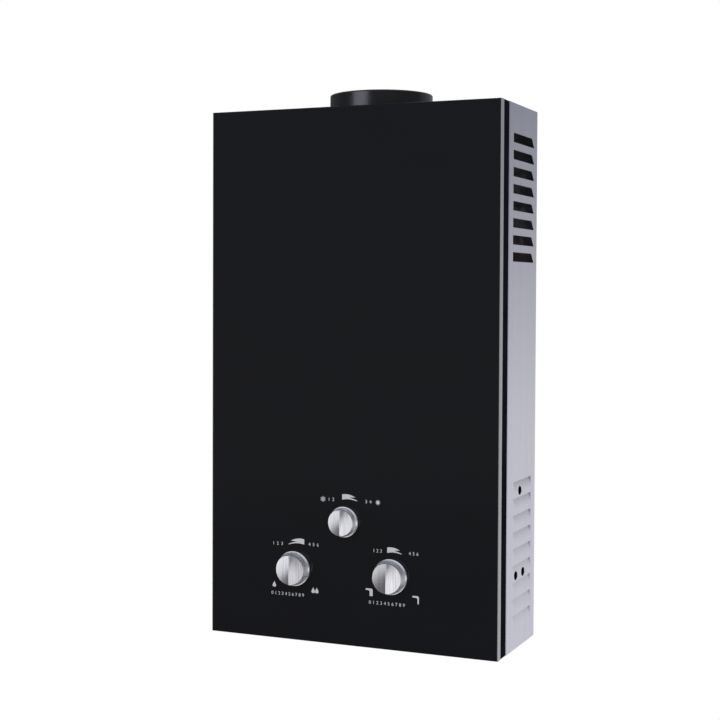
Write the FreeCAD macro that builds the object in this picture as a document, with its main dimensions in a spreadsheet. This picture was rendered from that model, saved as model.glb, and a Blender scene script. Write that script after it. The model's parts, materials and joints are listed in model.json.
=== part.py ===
import FreeCAD, Part
import math
import os

import Sketcher

# A wall-hung gas water heater. The origin is at the foot of the wall plate, in the middle of its
# rear face: X runs along the wall to the right, Y points into the wall and Z points up.
# All sizes are in millimetres.

document = FreeCAD.newDocument("GasWaterHeater")
sheet = document.addObject("Spreadsheet::Sheet", "Sizes")

driving_sizes = {
    # casing
    "case_width": 340,
    "case_height": 590,
    "case_depth": 135,
    "front_depth": 29.5,
    "side_metal": 0.8,
    "back_metal": 1.2,
    "frame_metal": 1.0,
    "flange_width": 12,
    "glass_thickness": 4,
    "glass_ease": 0.5,
    "trim_metal": 0.8,
    "trim_depth": 11,
    "trim_lip": 8,
    "tape_height": 14,
    "front_tongue": 11,
    # openings in the side panels, from the wall and from the case's top or foot
    "slot_count": 8,
    "slot_pitch": 18.2,
    "slot_height": 10,
    "slot_front": 91,
    "slot_rear": 12,
    "slot_relief": 9,
    "slot_drop": 31.7,
    "louvre_count": 9,
    "louvre_height": 9,
    "louvre_press": 1.6,
    "louvre_front": 85,
    "louvre_rear": 15,
    "louvre_rise": 27.5,
    "louvre_slit": 0.6,
    "service_hole_radius": 4.7,
    "service_hole_front": 71.5,
    "service_hole_rear": 44.5,
    "service_hole_rise": 80,
    "service_hole_upper_rise": 171.5,
    "air_slot_count": 6,
    "air_slot_pitch": 12,
    "air_slot_place": -38,
    "air_slot_width": 5,
    # holes in the wall plate
    "hook_spread": 180,
    "hook_height": 545,
    "hook_head_radius": 6,
    "hook_slot_radius": 3,
    "hook_slot_length": 12,
    "fixing_height": 30,
    "fixing_hole_radius": 3,
    # flue
    "flue_offset": 7.5,
    "flue_depth": 65,
    "flue_radius": 57.6,
    "flue_metal": 0.8,
    "flue_height": 18.3,
    "flue_bead": 1.6,
    "flue_foot_width": 62,
    "flue_foot_depth": 59,
    "flue_foot_metal": 1.0,
    "hood_half_width": 62,
    "hood_half_depth": 60,
    "hood_neck_height": 16,
    "hood_skirt_height": 41,
    "hood_metal": 0.8,
    "hood_vent_rise": 10,
    "hood_vent_width": 46,
    "hood_vent_height": 22,
    # heat exchanger
    "pipe_depth": 62,
    "exchanger_width": 230,
    "exchanger_depth": 86,
    "exchanger_foot": 262,
    "exchanger_height": 190,
    "exchanger_metal": 0.8,
    "fin_count": 11,
    "fin_margin": 15,
    "fin_metal": 0.8,
    "fin_height": 42,
    "fin_foot": 142,
    "tube_radius": 6.5,
    "tube_wall": 0.7,
    "tube_bend": 14.5,
    "tube_overhang": 21,
    "wrap_rise": 58,
    # burner
    "tray_overlap": 6,
    "tray_height": 26,
    "tray_metal": 1.0,
    "tray_lip": 8,
    "tray_bracket_width": 20,
    "tray_bracket_spread": 90,
    "rail_height": 6,
    "rail_drop": 2,
    "bar_count": 10,
    "bar_thickness": 14,
    "bar_metal": 1.0,
    "bar_length": 76,
    "bar_height": 64,
    "bar_drop": 10,
    "throat_length": 46,
    "throat_height": 20,
    "flame_slot_width": 6,
    "flame_slot_depth": 3,
    "manifold_depth": 16,
    "manifold_height": 16,
    "manifold_front": 100,
    "manifold_rise": 190,
    "nozzle_radius": 3,
    "nozzle_length": 9,
    # gas and water valve
    "lower_knob_rise": 80,
    "fire_place": -66,
    "water_place": 49,
    "season_place": -6,
    "season_rise": 136,
    "boss_front": 104,
    "gas_body_width": 54,
    "gas_body_left": 30,
    "gas_body_depth": 46,
    "gas_body_height": 46,
    "gas_boss_radius": 14,
    "gas_port_width": 44,
    "gas_port_depth": 30,
    "gas_port_height": 16,
    "gas_neck_radius": 9,
    "gas_neck_length": 8,
    "distributor_left": 20,
    "distributor_right": 18,
    "distributor_front": 98,
    "distributor_rear": 50,
    "distributor_height": 31,
    "season_boss_radius": 12,
    "riser_width": 30,
    "riser_depth": 14,
    "solenoid_radius": 12,
    "solenoid_gap": 7.5,
    "inlet_leg_radius": 11,
    "outlet_leg_radius": 10,
    "outlet_leg_height": 32,
    "leg_foot": 20,
    "water_body_radius": 17,
    "water_boss_radius": 13,
    "diaphragm_radius": 37,
    "diaphragm_metal": 2,
    "diaphragm_place": 12,
    "cover_depth": 12,
    "cover_floor": 3,
    "cover_chamber_radius": 28,
    "cover_neck_length": 14,
    "flange_depth": 6,
    "water_body_end": 86,
    "valve_screw_ring": 32.5,
    "valve_screw_radius": 1.9,
    "push_rod_radius": 2.5,
    "push_rod_reach": 68,
    "push_rod_travel": 4,
    "push_plate_radius": 22,
    "push_plate_metal": 2,
    "push_collar_radius": 5,
    "push_collar_length": 3,
    "push_collar_place": 38,
    "running_clearance": 0.05,
    "seat_clearance": 0.3,
    "drain_place": 77,
    "drain_boss_radius": 7,
    "drain_boss_height": 26,
    "drain_shank_radius": 4,
    "drain_grip_radius": 7,
    "drain_grip_height": 9,
    "drain_drop": 12,
    # switch
    "switch_width": 20,
    "switch_depth": 8,
    "switch_height": 10,
    "switch_ear": 1.8,
    "switch_ear_width": 4,
    "lever_side_gap": 0.2,
    "lever_metal": 0.5,
    "lever_arm": 8,
    "lever_pin_radius": 0.8,
    "lever_eye_radius": 1.6,
    "lever_height": 11,
    "bracket_metal": 1.0,
    # knobs and spindles
    "knob_radius": 19.3,
    "knob_face_radius": 16.2,
    "knob_height": 16.5,
    "knob_skirt": 3.2,
    "knob_edge": 0.8,
    "knob_gap": 0.5,
    "knob_twist": 4.2,
    "season_knob_share": 0.87,
    "spindle_radius": 4,
    "spindle_depth": 24,
    "spindle_grip": 10,
    "spindle_fit": 0.02,
    "spindle_collar_radius": 6.5,
    "spindle_collar_length": 1.5,
    "spindle_hole": 8,
    "glass_hole": 11,
    # pipe ends
    "thread_radius": 10.48,
    "thread_bore": 7.5,
    "thread_drop": 14,
    "shank_radius": 12.2,
    "nipple_flange_flats": 16,
    "nipple_flange_height": 5,
    "nipple_floor": 6,
    "locknut_flats": 15,
    "locknut_height": 4,
    "union_flats": 10.5,
    "union_height": 16,
    "hot_joint_rise": 240,
    "cold_joint_rise": 236,
    "cold_turn_rise": 160,
    "hot_shift_rise": 96,
    "thermostat_rise": 370,
    "thermostat_size": 18,
    # ignition
    "igniter_width": 64,
    "igniter_depth": 34,
    "igniter_height": 66,
    "igniter_gap": 1.2,
    "igniter_rise": 92,
    "igniter_rounding": 4,
    "electrode_radius": 3.2,
    "electrode_wire": 1.0,
    "electrode_length": 16,
    "electrode_reach": 12,
    "electrode_spread": 24,
    "electrode_drop": 6,
    "plate_width": 44,
    "plate_height": 18,
    "boot_radius": 5,
    "boot_length": 12,
    "boot_cap": 3.5,
    "lead_radius": 2,
    "lead_bend": 14,
    "lead_rise": 180,
    "lead_inset": 22,
    # battery compartment
    "cell_radius": 17.1,
    "cell_length": 59.5,
    "cell_nub_radius": 5,
    "cell_nub_height": 2,
    "cell_gap": 0.4,
    "battery_metal": 1.5,
    "battery_gap": 5.6,
    "battery_front": 101,
    "battery_lip": 3,
    "contact_metal": 0.5,
    "contact_height": 1.0,
    "contact_margin": 3,
    "door_metal": 2.2,
    "door_gap": 0.4,
    "door_tab_length": 5,
    "door_tab_width": 18,
    "door_pin_radius": 1.2,
    "door_eye_radius": 2.6,
    "door_ear_width": 6,
    # fasteners
    "screw_radius": 1.7,
    "screw_head_radius": 3.5,
    "screw_head_height": 1.6,
    "front_screw_length": 6,
    "case_screw_inset": 5,
    "case_screw_margin": 60,
    "front_screw_spread": 280,
    "flue_screw_inset": 6,
    "flue_screw_setback": 14,
    # eases and cuts
    "lip_ease": 1,
    "drain_ease": 1,
    "cut_overrun": 1,
}

for row, (name, number) in enumerate(driving_sizes.items(), start=1):
    sheet.set("A%d" % row, name)
    sheet.set("B%d" % row, str(number))
    sheet.setAlias("B%d" % row, name)
document.recompute()


class Size:
    """A size of the sheet, or a sum of such sizes, together with the expression that gives it."""

    def __init__(self, number, words):
        self.number = number
        self.words = words

    def __str__(self):
        return self.words

    def __float__(self):
        return float(self.number)

    def __add__(self, other):
        return Size(float(self) + float(other), "(%s + %s)" % (self, other))

    def __radd__(self, other):
        return Size(float(other) + float(self), "(%s + %s)" % (other, self))

    def __sub__(self, other):
        return Size(float(self) - float(other), "(%s - %s)" % (self, other))

    def __rsub__(self, other):
        return Size(float(other) - float(self), "(%s - %s)" % (other, self))

    def __mul__(self, other):
        return Size(float(self) * float(other), "(%s * %s)" % (self, other))

    def __rmul__(self, other):
        return self * other

    def __truediv__(self, other):
        return Size(float(self) / float(other), "(%s / %s)" % (self, other))

    def __neg__(self):
        return 0 - self


class Sizes:
    """The sheet's sizes by name, so that size.case_width is a Size bound to its cell."""

    def __getattr__(self, name):
        return Size(sheet.get(name), "Sizes." + name)


size = Sizes()
nodes = []


def count(number):
    return int(round(float(number)))


def node(name, item):
    """Names one finished piece of the heater."""
    item.Label = name
    nodes.append(item)
    return item


def bind(item, **links):
    for name, link in links.items():
        item.setExpression(name, str(link))


def place(item, x, y, z):
    item.setExpression("Placement.Base.x", str(x))
    item.setExpression("Placement.Base.y", str(y))
    item.setExpression("Placement.Base.z", str(z))


def middle(centre, half):
    """A span that reaches half to both sides of its centre."""
    return (centre - half, centre + half)


# Turns that lead a solid's own Z axis to the named axis
turns = {
    "x": FreeCAD.Rotation(FreeCAD.Vector(0, 1, 0), 90),
    "y": FreeCAD.Rotation(FreeCAD.Vector(1, 0, 0), -90),
    "z": FreeCAD.Rotation(),
}

# Sketch planes: the axes that a sketch's own x, y and normal follow
planes = {
    "xy": ((1, 0, 0), (0, 1, 0), (0, 0, 1)),
    "xz": ((1, 0, 0), (0, 0, 1), (0, -1, 0)),
    "yz": ((0, 1, 0), (0, 0, 1), (1, 0, 0)),
    "forward": ((1, 0, 0), (0, -1, 0), (0, 0, -1)),
}


def box(name, x, y, z):
    item = document.addObject("Part::Box", name)
    bind(item, Length=x[1] - x[0], Width=y[1] - y[0], Height=z[1] - z[0])
    place(item, x[0], y[0], z[0])
    return item


def rod(name, axis, radius, centre, span):
    """A round bar along an axis. Its centre gives the other two coordinates, in X, Y, Z order."""
    item = document.addObject("Part::Cylinder", name)
    item.Placement = FreeCAD.Placement(FreeCAD.Vector(), turns[axis])
    bind(item, Radius=radius, Height=span[1] - span[0])
    spot = list(centre)
    spot.insert("xyz".index(axis), span[0])
    place(item, *spot)
    return item


def hexagon(name, flats, centre, span):
    """An upright six-sided bar, measured from its axis to each flat."""
    item = document.addObject("Part::Prism", name)
    item.Polygon = 6
    bind(item, Circumradius=flats / math.cos(math.pi / 6), Height=span[1] - span[0])
    place(item, centre[0], centre[1], span[0])
    return item


def rounded_block(name, x, y, z, rounding, along="z"):
    """A box whose four edges along one axis are rounded."""
    block = box(name + "_square", x, y, z)
    document.recompute()
    item = document.addObject("Part::Fillet", name)
    item.Base = block
    reach = float({"x": x, "y": y, "z": z}[along][1] - {"x": x, "y": y, "z": z}[along][0])
    length = along.upper() + "Length"
    item.Edges = [
        (index, float(rounding), float(rounding))
        for index, edge in enumerate(block.Shape.Edges, start=1)
        if abs(getattr(edge.BoundBox, length) - reach) < 0.01
    ]
    return item


def draw(sketch, corners):
    """Draws a closed outline and ties each corner's two distances to the sheet."""
    total = len(corners)
    start = [FreeCAD.Vector(float(u), float(v), 0) for u, v in corners]
    for index in range(total):
        sketch.addGeometry(Part.LineSegment(start[index], start[(index + 1) % total]))
    for index in range(total):
        sketch.addConstraint(Sketcher.Constraint("Coincident", index, 2, (index + 1) % total, 1))
    for index, corner in enumerate(corners):
        for kind, distance in zip(("DistanceX", "DistanceY"), corner):
            tie = Sketcher.Constraint(kind, -1, 1, index, 1, float(distance))
            number = sketch.addConstraint(tie)
            sketch.setExpression("Constraints[%d]" % number, str(distance))


def outline(name, plane, corners, offset=0):
    """A sketch that stands by itself on one of the planes, offset along the plane's normal."""
    sketch = document.addObject("Sketcher::SketchObject", name + "_outline")
    across, up, normal = (FreeCAD.Vector(*way) for way in planes[plane])
    sketch.Placement = FreeCAD.Placement(FreeCAD.Vector(), FreeCAD.Rotation(across, up, normal, "ZXY"))
    place(sketch, *(offset * part if part else 0 for part in planes[plane][2]))
    draw(sketch, corners)
    return sketch


def prism(name, plane, corners, span):
    """An outline drawn out along its plane's normal, between the two coordinates of the span."""
    low, high = span
    offset = -high if plane == "xz" else low
    item = document.addObject("Part::Extrusion", name)
    item.Base = outline(name, plane, corners, offset)
    item.DirMode = "Normal"
    item.Solid = True
    bind(item, LengthFwd=high - low)
    return item


def turned(name, axis, corners):
    """A body of revolution from pairs of radius and distance along the axis, from its own origin."""
    item = document.addObject("Part::Revolution", name)
    item.Source = outline(name, "forward" if axis == "y" else "xz", corners)
    item.Axis = FreeCAD.Vector(0, -1, 0) if axis == "y" else FreeCAD.Vector(0, 0, 1)
    item.Solid = True
    return item


def fuse(name, *items):
    item = document.addObject("Part::MultiFuse", name)
    item.Shapes = list(items)
    item.Refine = True
    return item


def cut(name, base, *tools):
    item = document.addObject("Part::Cut", name)
    item.Base = base
    item.Tool = tools[0] if len(tools) == 1 else fuse(name + "_tools", *tools)
    item.Refine = True
    return item


def group(name, items):
    """Separate solids that share one piece's name, such as a set of screws."""
    item = document.addObject("Part::Compound", name)
    item.Links = list(items)
    return item


def bent_path(points, bend):
    """Straight runs joined by tangent arcs of one bend radius."""
    spots = [FreeCAD.Vector(*(float(part) for part in point)) for point in points]
    edges = []
    start = spots[0]
    for before, corner, after in zip(spots, spots[1:], spots[2:]):
        back = (before - corner).normalize()
        ahead = (after - corner).normalize()
        half_angle = back.getAngle(ahead) / 2
        reach = float(bend) / math.tan(half_angle)
        enter = corner + back * reach
        leave = corner + ahead * reach
        inward = (back + ahead).normalize()
        centre = corner + inward * (float(bend) / math.sin(half_angle))
        if (enter - start).Length > 0.001:
            edges.append(Part.LineSegment(start, enter).toShape())
        edges.append(Part.Arc(enter, centre - inward * float(bend), leave).toShape())
        start = leave
    edges.append(Part.LineSegment(start, spots[-1]).toShape())
    return edges


def bent_bar(points, bend, radius):
    """A round bar along a bent path: cylinders for its runs and torus pieces for its bends."""
    pieces = []
    for edge in bent_path(points, bend):
        start = edge.valueAt(edge.FirstParameter)
        ahead = edge.tangentAt(edge.FirstParameter)
        disc = Part.Face(Part.Wire(Part.Circle(start, ahead, float(radius)).toShape()))
        if isinstance(edge.Curve, Part.Circle):
            turn = math.degrees(edge.Length / edge.Curve.Radius)
            pieces.append(disc.revolve(edge.Curve.Center, edge.Curve.Axis, turn))
        else:
            pieces.append(disc.extrude(ahead * edge.Length))
    return pieces[0].multiFuse(pieces[1:]).removeSplitter()


def pipe(name, points):
    """A water pipe along a bent path, with the bore and the bends that all of them have."""
    item = document.addObject("Part::Feature", name)
    wall = bent_bar(points, size.tube_bend, size.tube_radius)
    item.Shape = wall.cut(bent_bar(points, size.tube_bend, size.tube_radius - size.tube_wall))
    return item


# Levels and places that several pieces share
half_width = size.case_width / 2
side_inner = half_width - size.side_metal
overrun = size.cut_overrun
glass_front = -size.case_depth
glass_back = glass_front + size.glass_thickness
frame_front = glass_back + size.trim_metal
frame_inner = frame_front + size.frame_metal
side_front = glass_front + size.front_depth
back_front = -size.back_metal
case_top = size.case_height
top_under = case_top - size.side_metal
pipe_line = -size.pipe_depth
exchanger_top = size.exchanger_foot + size.exchanger_height
corner_radius = size.tube_bend - size.tube_radius - size.seat_clearance
fin_middle = size.exchanger_foot + size.fin_foot + size.fin_height / 2
front_pass = pipe_line - 2 * size.tube_bend
rear_pass = pipe_line + 2 * size.tube_bend
pipe_side = size.exchanger_width / 2 + size.tube_overhang
bar_pitch = (size.exchanger_width - size.bar_thickness) / (size.bar_count - 1)
fin_pitch = (size.exchanger_width - 2 * size.fin_margin) / (size.fin_count - 1)
igniter_left = side_inner - size.flange_width - size.igniter_gap - size.igniter_width
pipe_places = (-pipe_side, size.fire_place, size.water_place)
pipe_hole_radius = size.shank_radius + size.running_clearance
screw_hole_radius = size.screw_radius + size.running_clearance
front_screw_line = side_front - size.front_tongue / 2
flue_centre = (size.flue_offset, -size.flue_depth)
electrode_places = (-size.electrode_spread / 2, size.electrode_spread / 2)
boot_front = pipe_line - size.exchanger_depth / 2 - size.tray_overlap - size.electrode_reach - size.boot_cap
push_plate_face = size.diaphragm_place - size.seat_clearance
push_rod_end = push_plate_face - size.push_rod_reach
collar_left = size.diaphragm_place - size.push_collar_place
lever_pivot = collar_left - size.seat_clearance - size.lever_metal / 2
lever_rise = size.lower_knob_rise + size.lever_height
switch_foot = lever_rise + size.lever_eye_radius + size.seat_clearance
door_contact_top = size.contact_height - size.door_gap
knob_places = {
    "season": (size.season_place, size.season_rise),
    "fire": (size.fire_place, size.lower_knob_rise),
    "water": (size.water_place, size.lower_knob_rise),
}


def past(low, high):
    """The span of a cutting tool that runs a little beyond both faces."""
    return (low - overrun, high + overrun)


def battery_span():
    """The battery box's outer walls, as spans in X and Y."""
    width = 2 * size.cell_radius + 2 * size.cell_gap + 2 * size.battery_metal
    depth = 4 * size.cell_radius + 3 * size.cell_gap + 2 * size.battery_metal
    front = -size.battery_front
    right = side_inner - size.battery_gap
    return (right - width, right), (front, front + depth)


def front_screw_spots():
    return (-size.front_screw_spread / 2, size.front_screw_spread / 2)


def flue_screw_spots():
    """The corners of the flue's foot, as X and Y."""
    across = size.flue_foot_width - size.flue_screw_inset
    along = size.flue_foot_depth - size.flue_screw_setback
    return [(size.flue_offset + a * across, b * along - size.flue_depth) for a in (-1, 1) for b in (-1, 1)]


def screw(name, axis, centre, head, tip):
    """A screw from the outer face of its head to its tip; the head's sign gives its side."""
    way = 1 if float(tip) > float(head) else -1
    neck = head + way * size.screw_head_height
    cap_span = (head, neck) if way > 0 else (neck, head)
    shank_span = (neck, tip) if way > 0 else (tip, neck)
    cap = rod(name + "_head", axis, size.screw_head_radius, centre, cap_span)
    shank = rod(name + "_shank", axis, size.screw_radius, centre, shank_span)
    return fuse(name, cap, shank)


def case_screw_spots():
    """Where the side panels' rear flanges are screwed to the wall plate."""
    rise_span = case_top - 2 * size.case_screw_margin
    for side in (-1, 1):
        for step in range(3):
            yield side * (side_inner - size.case_screw_inset), size.case_screw_margin + rise_span * step / 2


def wall_plate():
    """The chassis sheet that hangs on two screws and is fixed by two more."""
    plate = box("wall_sheet", (-side_inner, side_inner), (back_front, 0), (0, case_top))
    span = past(back_front, 0)
    holes = []
    for side in (-1, 1):
        x = side * size.hook_spread / 2
        slot_top = size.hook_height + size.hook_slot_length
        holes.append(rod("hook_head", "y", size.hook_head_radius, (x, size.hook_height), span))
        holes.append(rod("hook_end", "y", size.hook_slot_radius, (x, slot_top), span))
        holes.append(box("hook_slot", middle(x, size.hook_slot_radius), span, (size.hook_height, slot_top)))
        holes.append(rod("fixing_hole", "y", size.fixing_hole_radius, (x, size.fixing_height), span))
    for spot in case_screw_spots():
        holes.append(rod("screw_hole", "y", screw_hole_radius, spot, span))
    node("back_plate", cut("back_plate", plate, *holes))


def body_sketch(body, name, role, corners, offset):
    """A sketch on one of the body's own origin planes."""
    sketch = body.newObject("Sketcher::SketchObject", name)
    plane = next(feature for feature in body.Origin.OriginFeatures if feature.Role == role)
    sketch.AttachmentSupport = (plane, [""])
    sketch.MapMode = "FlatFace"
    sketch.setExpression("AttachmentOffset.Base.z", str(offset))
    draw(sketch, corners)
    return sketch


def pad(body, name, sketch, length, reverse=False):
    feature = body.newObject("PartDesign::Pad", name)
    feature.Profile = sketch
    feature.Reversed = reverse
    bind(feature, Length=length)
    return feature


def pocket_through(body, name, sketch):
    feature = body.newObject("PartDesign::Pocket", name)
    feature.Profile = sketch
    feature.Type = "ThroughAll"
    feature.SideType = "Symmetric"
    return feature


def row_up(body, name, originals, sketch, number, pitch):
    """Repeats features upwards along the sketch's own vertical."""
    pattern = body.newObject("PartDesign::LinearPattern", name)
    pattern.Originals = originals
    pattern.Direction = (sketch, ["V_Axis"])
    bind(pattern, Length=(number - 1) * pitch, Occurrences=number)
    body.Tip = pattern


def rectangle(x, y):
    return [(x[0], y[0]), (x[1], y[0]), (x[1], y[1]), (x[0], y[1])]


def side_sheet(name, side):
    """Stainless side sheet: return flanges, punched slots above and pressed louvres below."""
    body = document.addObject("PartDesign::Body", name)
    outer = side * half_width
    inner = side * side_inner
    web_spot = rectangle((side_front, 0), (0, case_top))
    web = body_sketch(body, name + "_web", "YZ_Plane", web_spot, inner if side > 0 else outer)
    pad(body, name + "_web_pad", web, size.side_metal)
    flange_end = inner - side * size.flange_width
    flange_x = (flange_end, inner) if side > 0 else (inner, flange_end)
    for label, rear in (("front", side_front + size.side_metal), ("rear", back_front)):
        flange_spot = rectangle(flange_x, (rear - size.side_metal, rear))
        flange = body_sketch(body, name + "_" + label, "XY_Plane", flange_spot, size.side_metal)
        pad(body, name + "_" + label + "_flange", flange, top_under - size.side_metal)

    slot_low = case_top - size.slot_drop - size.slot_height - (size.slot_count - 1) * size.slot_pitch
    slot_high = slot_low + size.slot_height
    slot = body_sketch(body, name + "_slot", "YZ_Plane", [
        (-size.slot_front, slot_low),
        (-size.slot_rear, slot_low),
        (-size.slot_rear - size.slot_relief, slot_high),
        (-size.slot_front, slot_high),
    ], outer)
    punched = pocket_through(body, name + "_slot_cut", slot)
    row_up(body, name + "_slots", [punched], slot, size.slot_count, size.slot_pitch)

    louvre_low = size.louvre_rise
    louvre_high = louvre_low + size.louvre_height
    window_spot = rectangle((-size.louvre_front, -size.louvre_rear), (louvre_low, louvre_high))
    window = body_sketch(body, name + "_window", "YZ_Plane", window_spot, outer)
    opened = pocket_through(body, name + "_window_cut", window)
    pressed = side * size.louvre_press
    # The blade leans inwards from the foot of its window, so its free edge opens at the top.
    blade = body_sketch(body, name + "_blade", "XZ_Plane", [
        (outer, louvre_low - size.louvre_slit),
        (outer, louvre_low),
        (outer - pressed, louvre_high),
        (inner - pressed, louvre_high),
        (inner, louvre_low),
        (inner, louvre_low - size.louvre_slit),
    ], size.louvre_front - size.louvre_slit)
    blade_length = size.louvre_front - size.louvre_rear - 2 * size.louvre_slit
    formed = pad(body, name + "_blade_pad", blade, blade_length, reverse=True)
    row_up(body, name + "_louvres", [opened, formed], window, size.louvre_count, size.slot_pitch)
    return body


def side_panels():
    """Both side sheets, with their screw holes and the three service holes on the right."""
    screw_span = (back_front - size.flange_width, back_front + size.side_metal)
    for name, side in (("left_side_panel", -1), ("right_side_panel", 1)):
        sheet_metal = side_sheet(name + "_sheet", side)
        spots = [spot for spot in case_screw_spots() if side * float(spot[0]) > 0]
        holes = [rod(name + "_hole", "y", screw_hole_radius, spot, screw_span) for spot in spots]
        if side > 0:
            service_spots = [
                (-size.service_hole_front, size.service_hole_rise),
                (-size.service_hole_rear, size.service_hole_rise),
                (-(size.service_hole_front + size.service_hole_rear) / 2, size.service_hole_upper_rise),
            ]
            span = middle(half_width, size.flange_width)
            radius = size.service_hole_radius
            holes += [rod("service_hole", "x", radius, spot, span) for spot in service_spots]
        node(name, cut(name, sheet_metal, *holes))


def top_panel():
    """The roof sheet: it reaches forwards under the front and carries the flue."""
    panel_half = side_inner - size.frame_metal
    lip_half = side_inner - size.flange_width - size.lip_ease
    lip = (top_under - size.flange_width, top_under)
    metal = size.side_metal
    side_lip = (side_front + metal, back_front - metal)
    sheet_metal = fuse(
        "roof",
        box("roof_rear", (-side_inner, side_inner), (side_front, back_front), (top_under, case_top)),
        box("roof_front", (-panel_half, panel_half), (frame_inner, side_front), (top_under, case_top)),
        box("roof_front_lip", (-panel_half, panel_half), (frame_inner, frame_inner + metal), lip),
        box("roof_rear_lip", (-lip_half, lip_half), (back_front - metal, back_front), lip),
        box("roof_left_lip", (-side_inner, -side_inner + metal), side_lip, lip),
        box("roof_right_lip", (side_inner - metal, side_inner), side_lip, lip),
    )
    span = past(top_under, case_top)
    throat = rod("roof_hole", "z", size.flue_radius - size.flue_metal, flue_centre, span)
    holes = [rod("roof_screw_hole", "z", screw_hole_radius, spot, span) for spot in flue_screw_spots()]
    node("top_panel", cut("top_panel", sheet_metal, throat, *holes))


def bottom_panel():
    """The floor sheet: a joggled front tongue, pipe and battery openings and air slots."""
    metal = size.side_metal
    step = size.frame_metal
    lip = (metal, metal + size.flange_width)
    lip_half = side_inner - size.flange_width - size.lip_ease
    side_lip = (side_front + metal, back_front - metal)
    front_span = (side_front - size.front_tongue, side_front + metal)
    sheet_metal = fuse(
        "floor",
        box("floor_sheet", (-side_inner, side_inner), (side_front, back_front), (0, metal)),
        box("floor_step", (-lip_half, lip_half), (side_front, side_front + metal), (0, step + metal)),
        box("floor_tongue", (-lip_half, lip_half), front_span, (step, step + metal)),
        box("floor_rear_lip", (-lip_half, lip_half), (back_front - metal, back_front), lip),
        box("floor_left_lip", (-side_inner, -side_inner + metal), side_lip, lip),
        box("floor_right_lip", (side_inner - metal, side_inner), side_lip, lip),
    )
    span = past(0, step + metal)
    openings = [rod("floor_pipe_hole", "z", pipe_hole_radius, (x, pipe_line), span) for x in pipe_places]
    drain_radius = size.drain_grip_radius + size.drain_ease
    openings.append(rod("floor_drain_hole", "z", drain_radius, (size.drain_place, pipe_line), span))
    battery_x, battery_y = battery_span()
    hinge_rear = battery_y[1] + 2 * size.door_eye_radius + size.door_gap
    openings.append(box("floor_battery_hole", battery_x, (battery_y[0], hinge_rear), span))
    for index in range(count(size.air_slot_count)):
        x = size.air_slot_place + size.air_slot_pitch * index
        slot_x = (x, x + size.air_slot_width)
        openings.append(box("floor_air_slot", slot_x, (-size.slot_front, -size.slot_rear), span))
    for x in front_screw_spots():
        openings.append(rod("floor_screw_hole", "z", screw_hole_radius, (x, front_screw_line), span))
    node("bottom_panel", cut("bottom_panel", sheet_metal, *openings))


def front_frame():
    """The black front tray behind the glass: open at the rear and at the top."""
    metal = size.frame_metal
    shell = box("tray_outside", (-side_inner, side_inner), (frame_front, side_front), (0, case_top))
    hollow_x = (metal - side_inner, side_inner - metal)
    hollow = box("tray_inside", hollow_x, (frame_inner, side_front + metal), (metal, case_top + metal))
    face_span = past(frame_front, frame_inner)
    foot_span = past(0, metal)
    holes = [rod("tray_knob_hole", "y", size.spindle_hole, spot, face_span) for spot in knob_places.values()]
    for x in front_screw_spots():
        holes.append(rod("tray_screw_hole", "z", screw_hole_radius, (x, front_screw_line), foot_span))
    node("front_frame", cut("front_frame", shell, hollow, *holes))


def glass_panel():
    """The black glass, its front edges eased all round, with three holes for the spindles."""
    pane = box("pane", (-side_inner, side_inner), (glass_front, glass_back), (0, case_top))
    document.recompute()
    eased = document.addObject("Part::Chamfer", "pane_eased")
    eased.Base = pane
    ease = float(size.glass_ease)
    front = float(glass_front)
    eased.Edges = [
        (index, ease, ease)
        for index, edge in enumerate(pane.Shape.Edges, start=1)
        if abs(edge.BoundBox.YMax - front) < 0.01
    ]
    span = past(glass_front, glass_back)
    holes = [rod("pane_hole", "y", size.glass_hole, spot, span) for spot in knob_places.values()]
    node("glass_panel", cut("glass_panel", eased, *holes))


def edge_trims():
    """Aluminium edge sections: a leg along the glass's edge and a lip behind the glass."""
    trim_rear = glass_front + size.trim_depth
    for name, side in (("edge_trim_left", -1), ("edge_trim_right", 1)):
        section = [
            (side * side_inner, glass_front),
            (side * half_width, glass_front),
            (side * half_width, trim_rear),
            (side * side_inner, trim_rear),
            (side * side_inner, frame_front),
            (side * (side_inner - size.trim_lip), frame_front),
            (side * (side_inner - size.trim_lip), glass_back),
            (side * side_inner, glass_back),
        ]
        node(name, prism(name, "xy", section, (0, case_top)))


def glass_tape():
    """Foam tape that bonds the glass to the tray, between the two trims' lips."""
    reach = side_inner - size.trim_lip - size.lip_ease
    rises = (size.tape_height, case_top / 2, case_top - size.tape_height)
    strips = [
        box("tape_strip", (-reach, reach), (glass_back, frame_front), middle(rise, size.tape_height / 2))
        for rise in rises
    ]
    node("glass_tape", group("glass_tape", strips))


def flue_collar():
    """The flue spigot, its edge rolled inwards, on a square foot screwed to the roof."""
    top = case_top + size.flue_height
    foot_x = middle(size.flue_offset, size.flue_foot_width)
    foot_y = middle(-size.flue_depth, size.flue_foot_depth)
    bead_rise = top - size.flue_bead
    foot = box("collar_foot", foot_x, foot_y, (case_top, case_top + size.flue_foot_metal))
    spigot = rod("collar_spigot", "z", size.flue_radius, flue_centre, (case_top, bead_rise))
    bead = document.addObject("Part::Torus", "collar_bead")
    bind(bead, Radius1=size.flue_radius - size.flue_bead, Radius2=size.flue_bead)
    place(bead, size.flue_offset, -size.flue_depth, bead_rise)
    span = past(case_top, top)
    holes = [rod("collar_bore", "z", size.flue_radius - size.flue_metal, flue_centre, span)]
    holes += [rod("collar_screw_hole", "z", screw_hole_radius, spot, span) for spot in flue_screw_spots()]
    sleeve = cut("collar_metal", fuse("collar_solid", foot, spigot), *holes)
    node("flue_collar", fuse("flue_collar", sleeve, bead))


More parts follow.
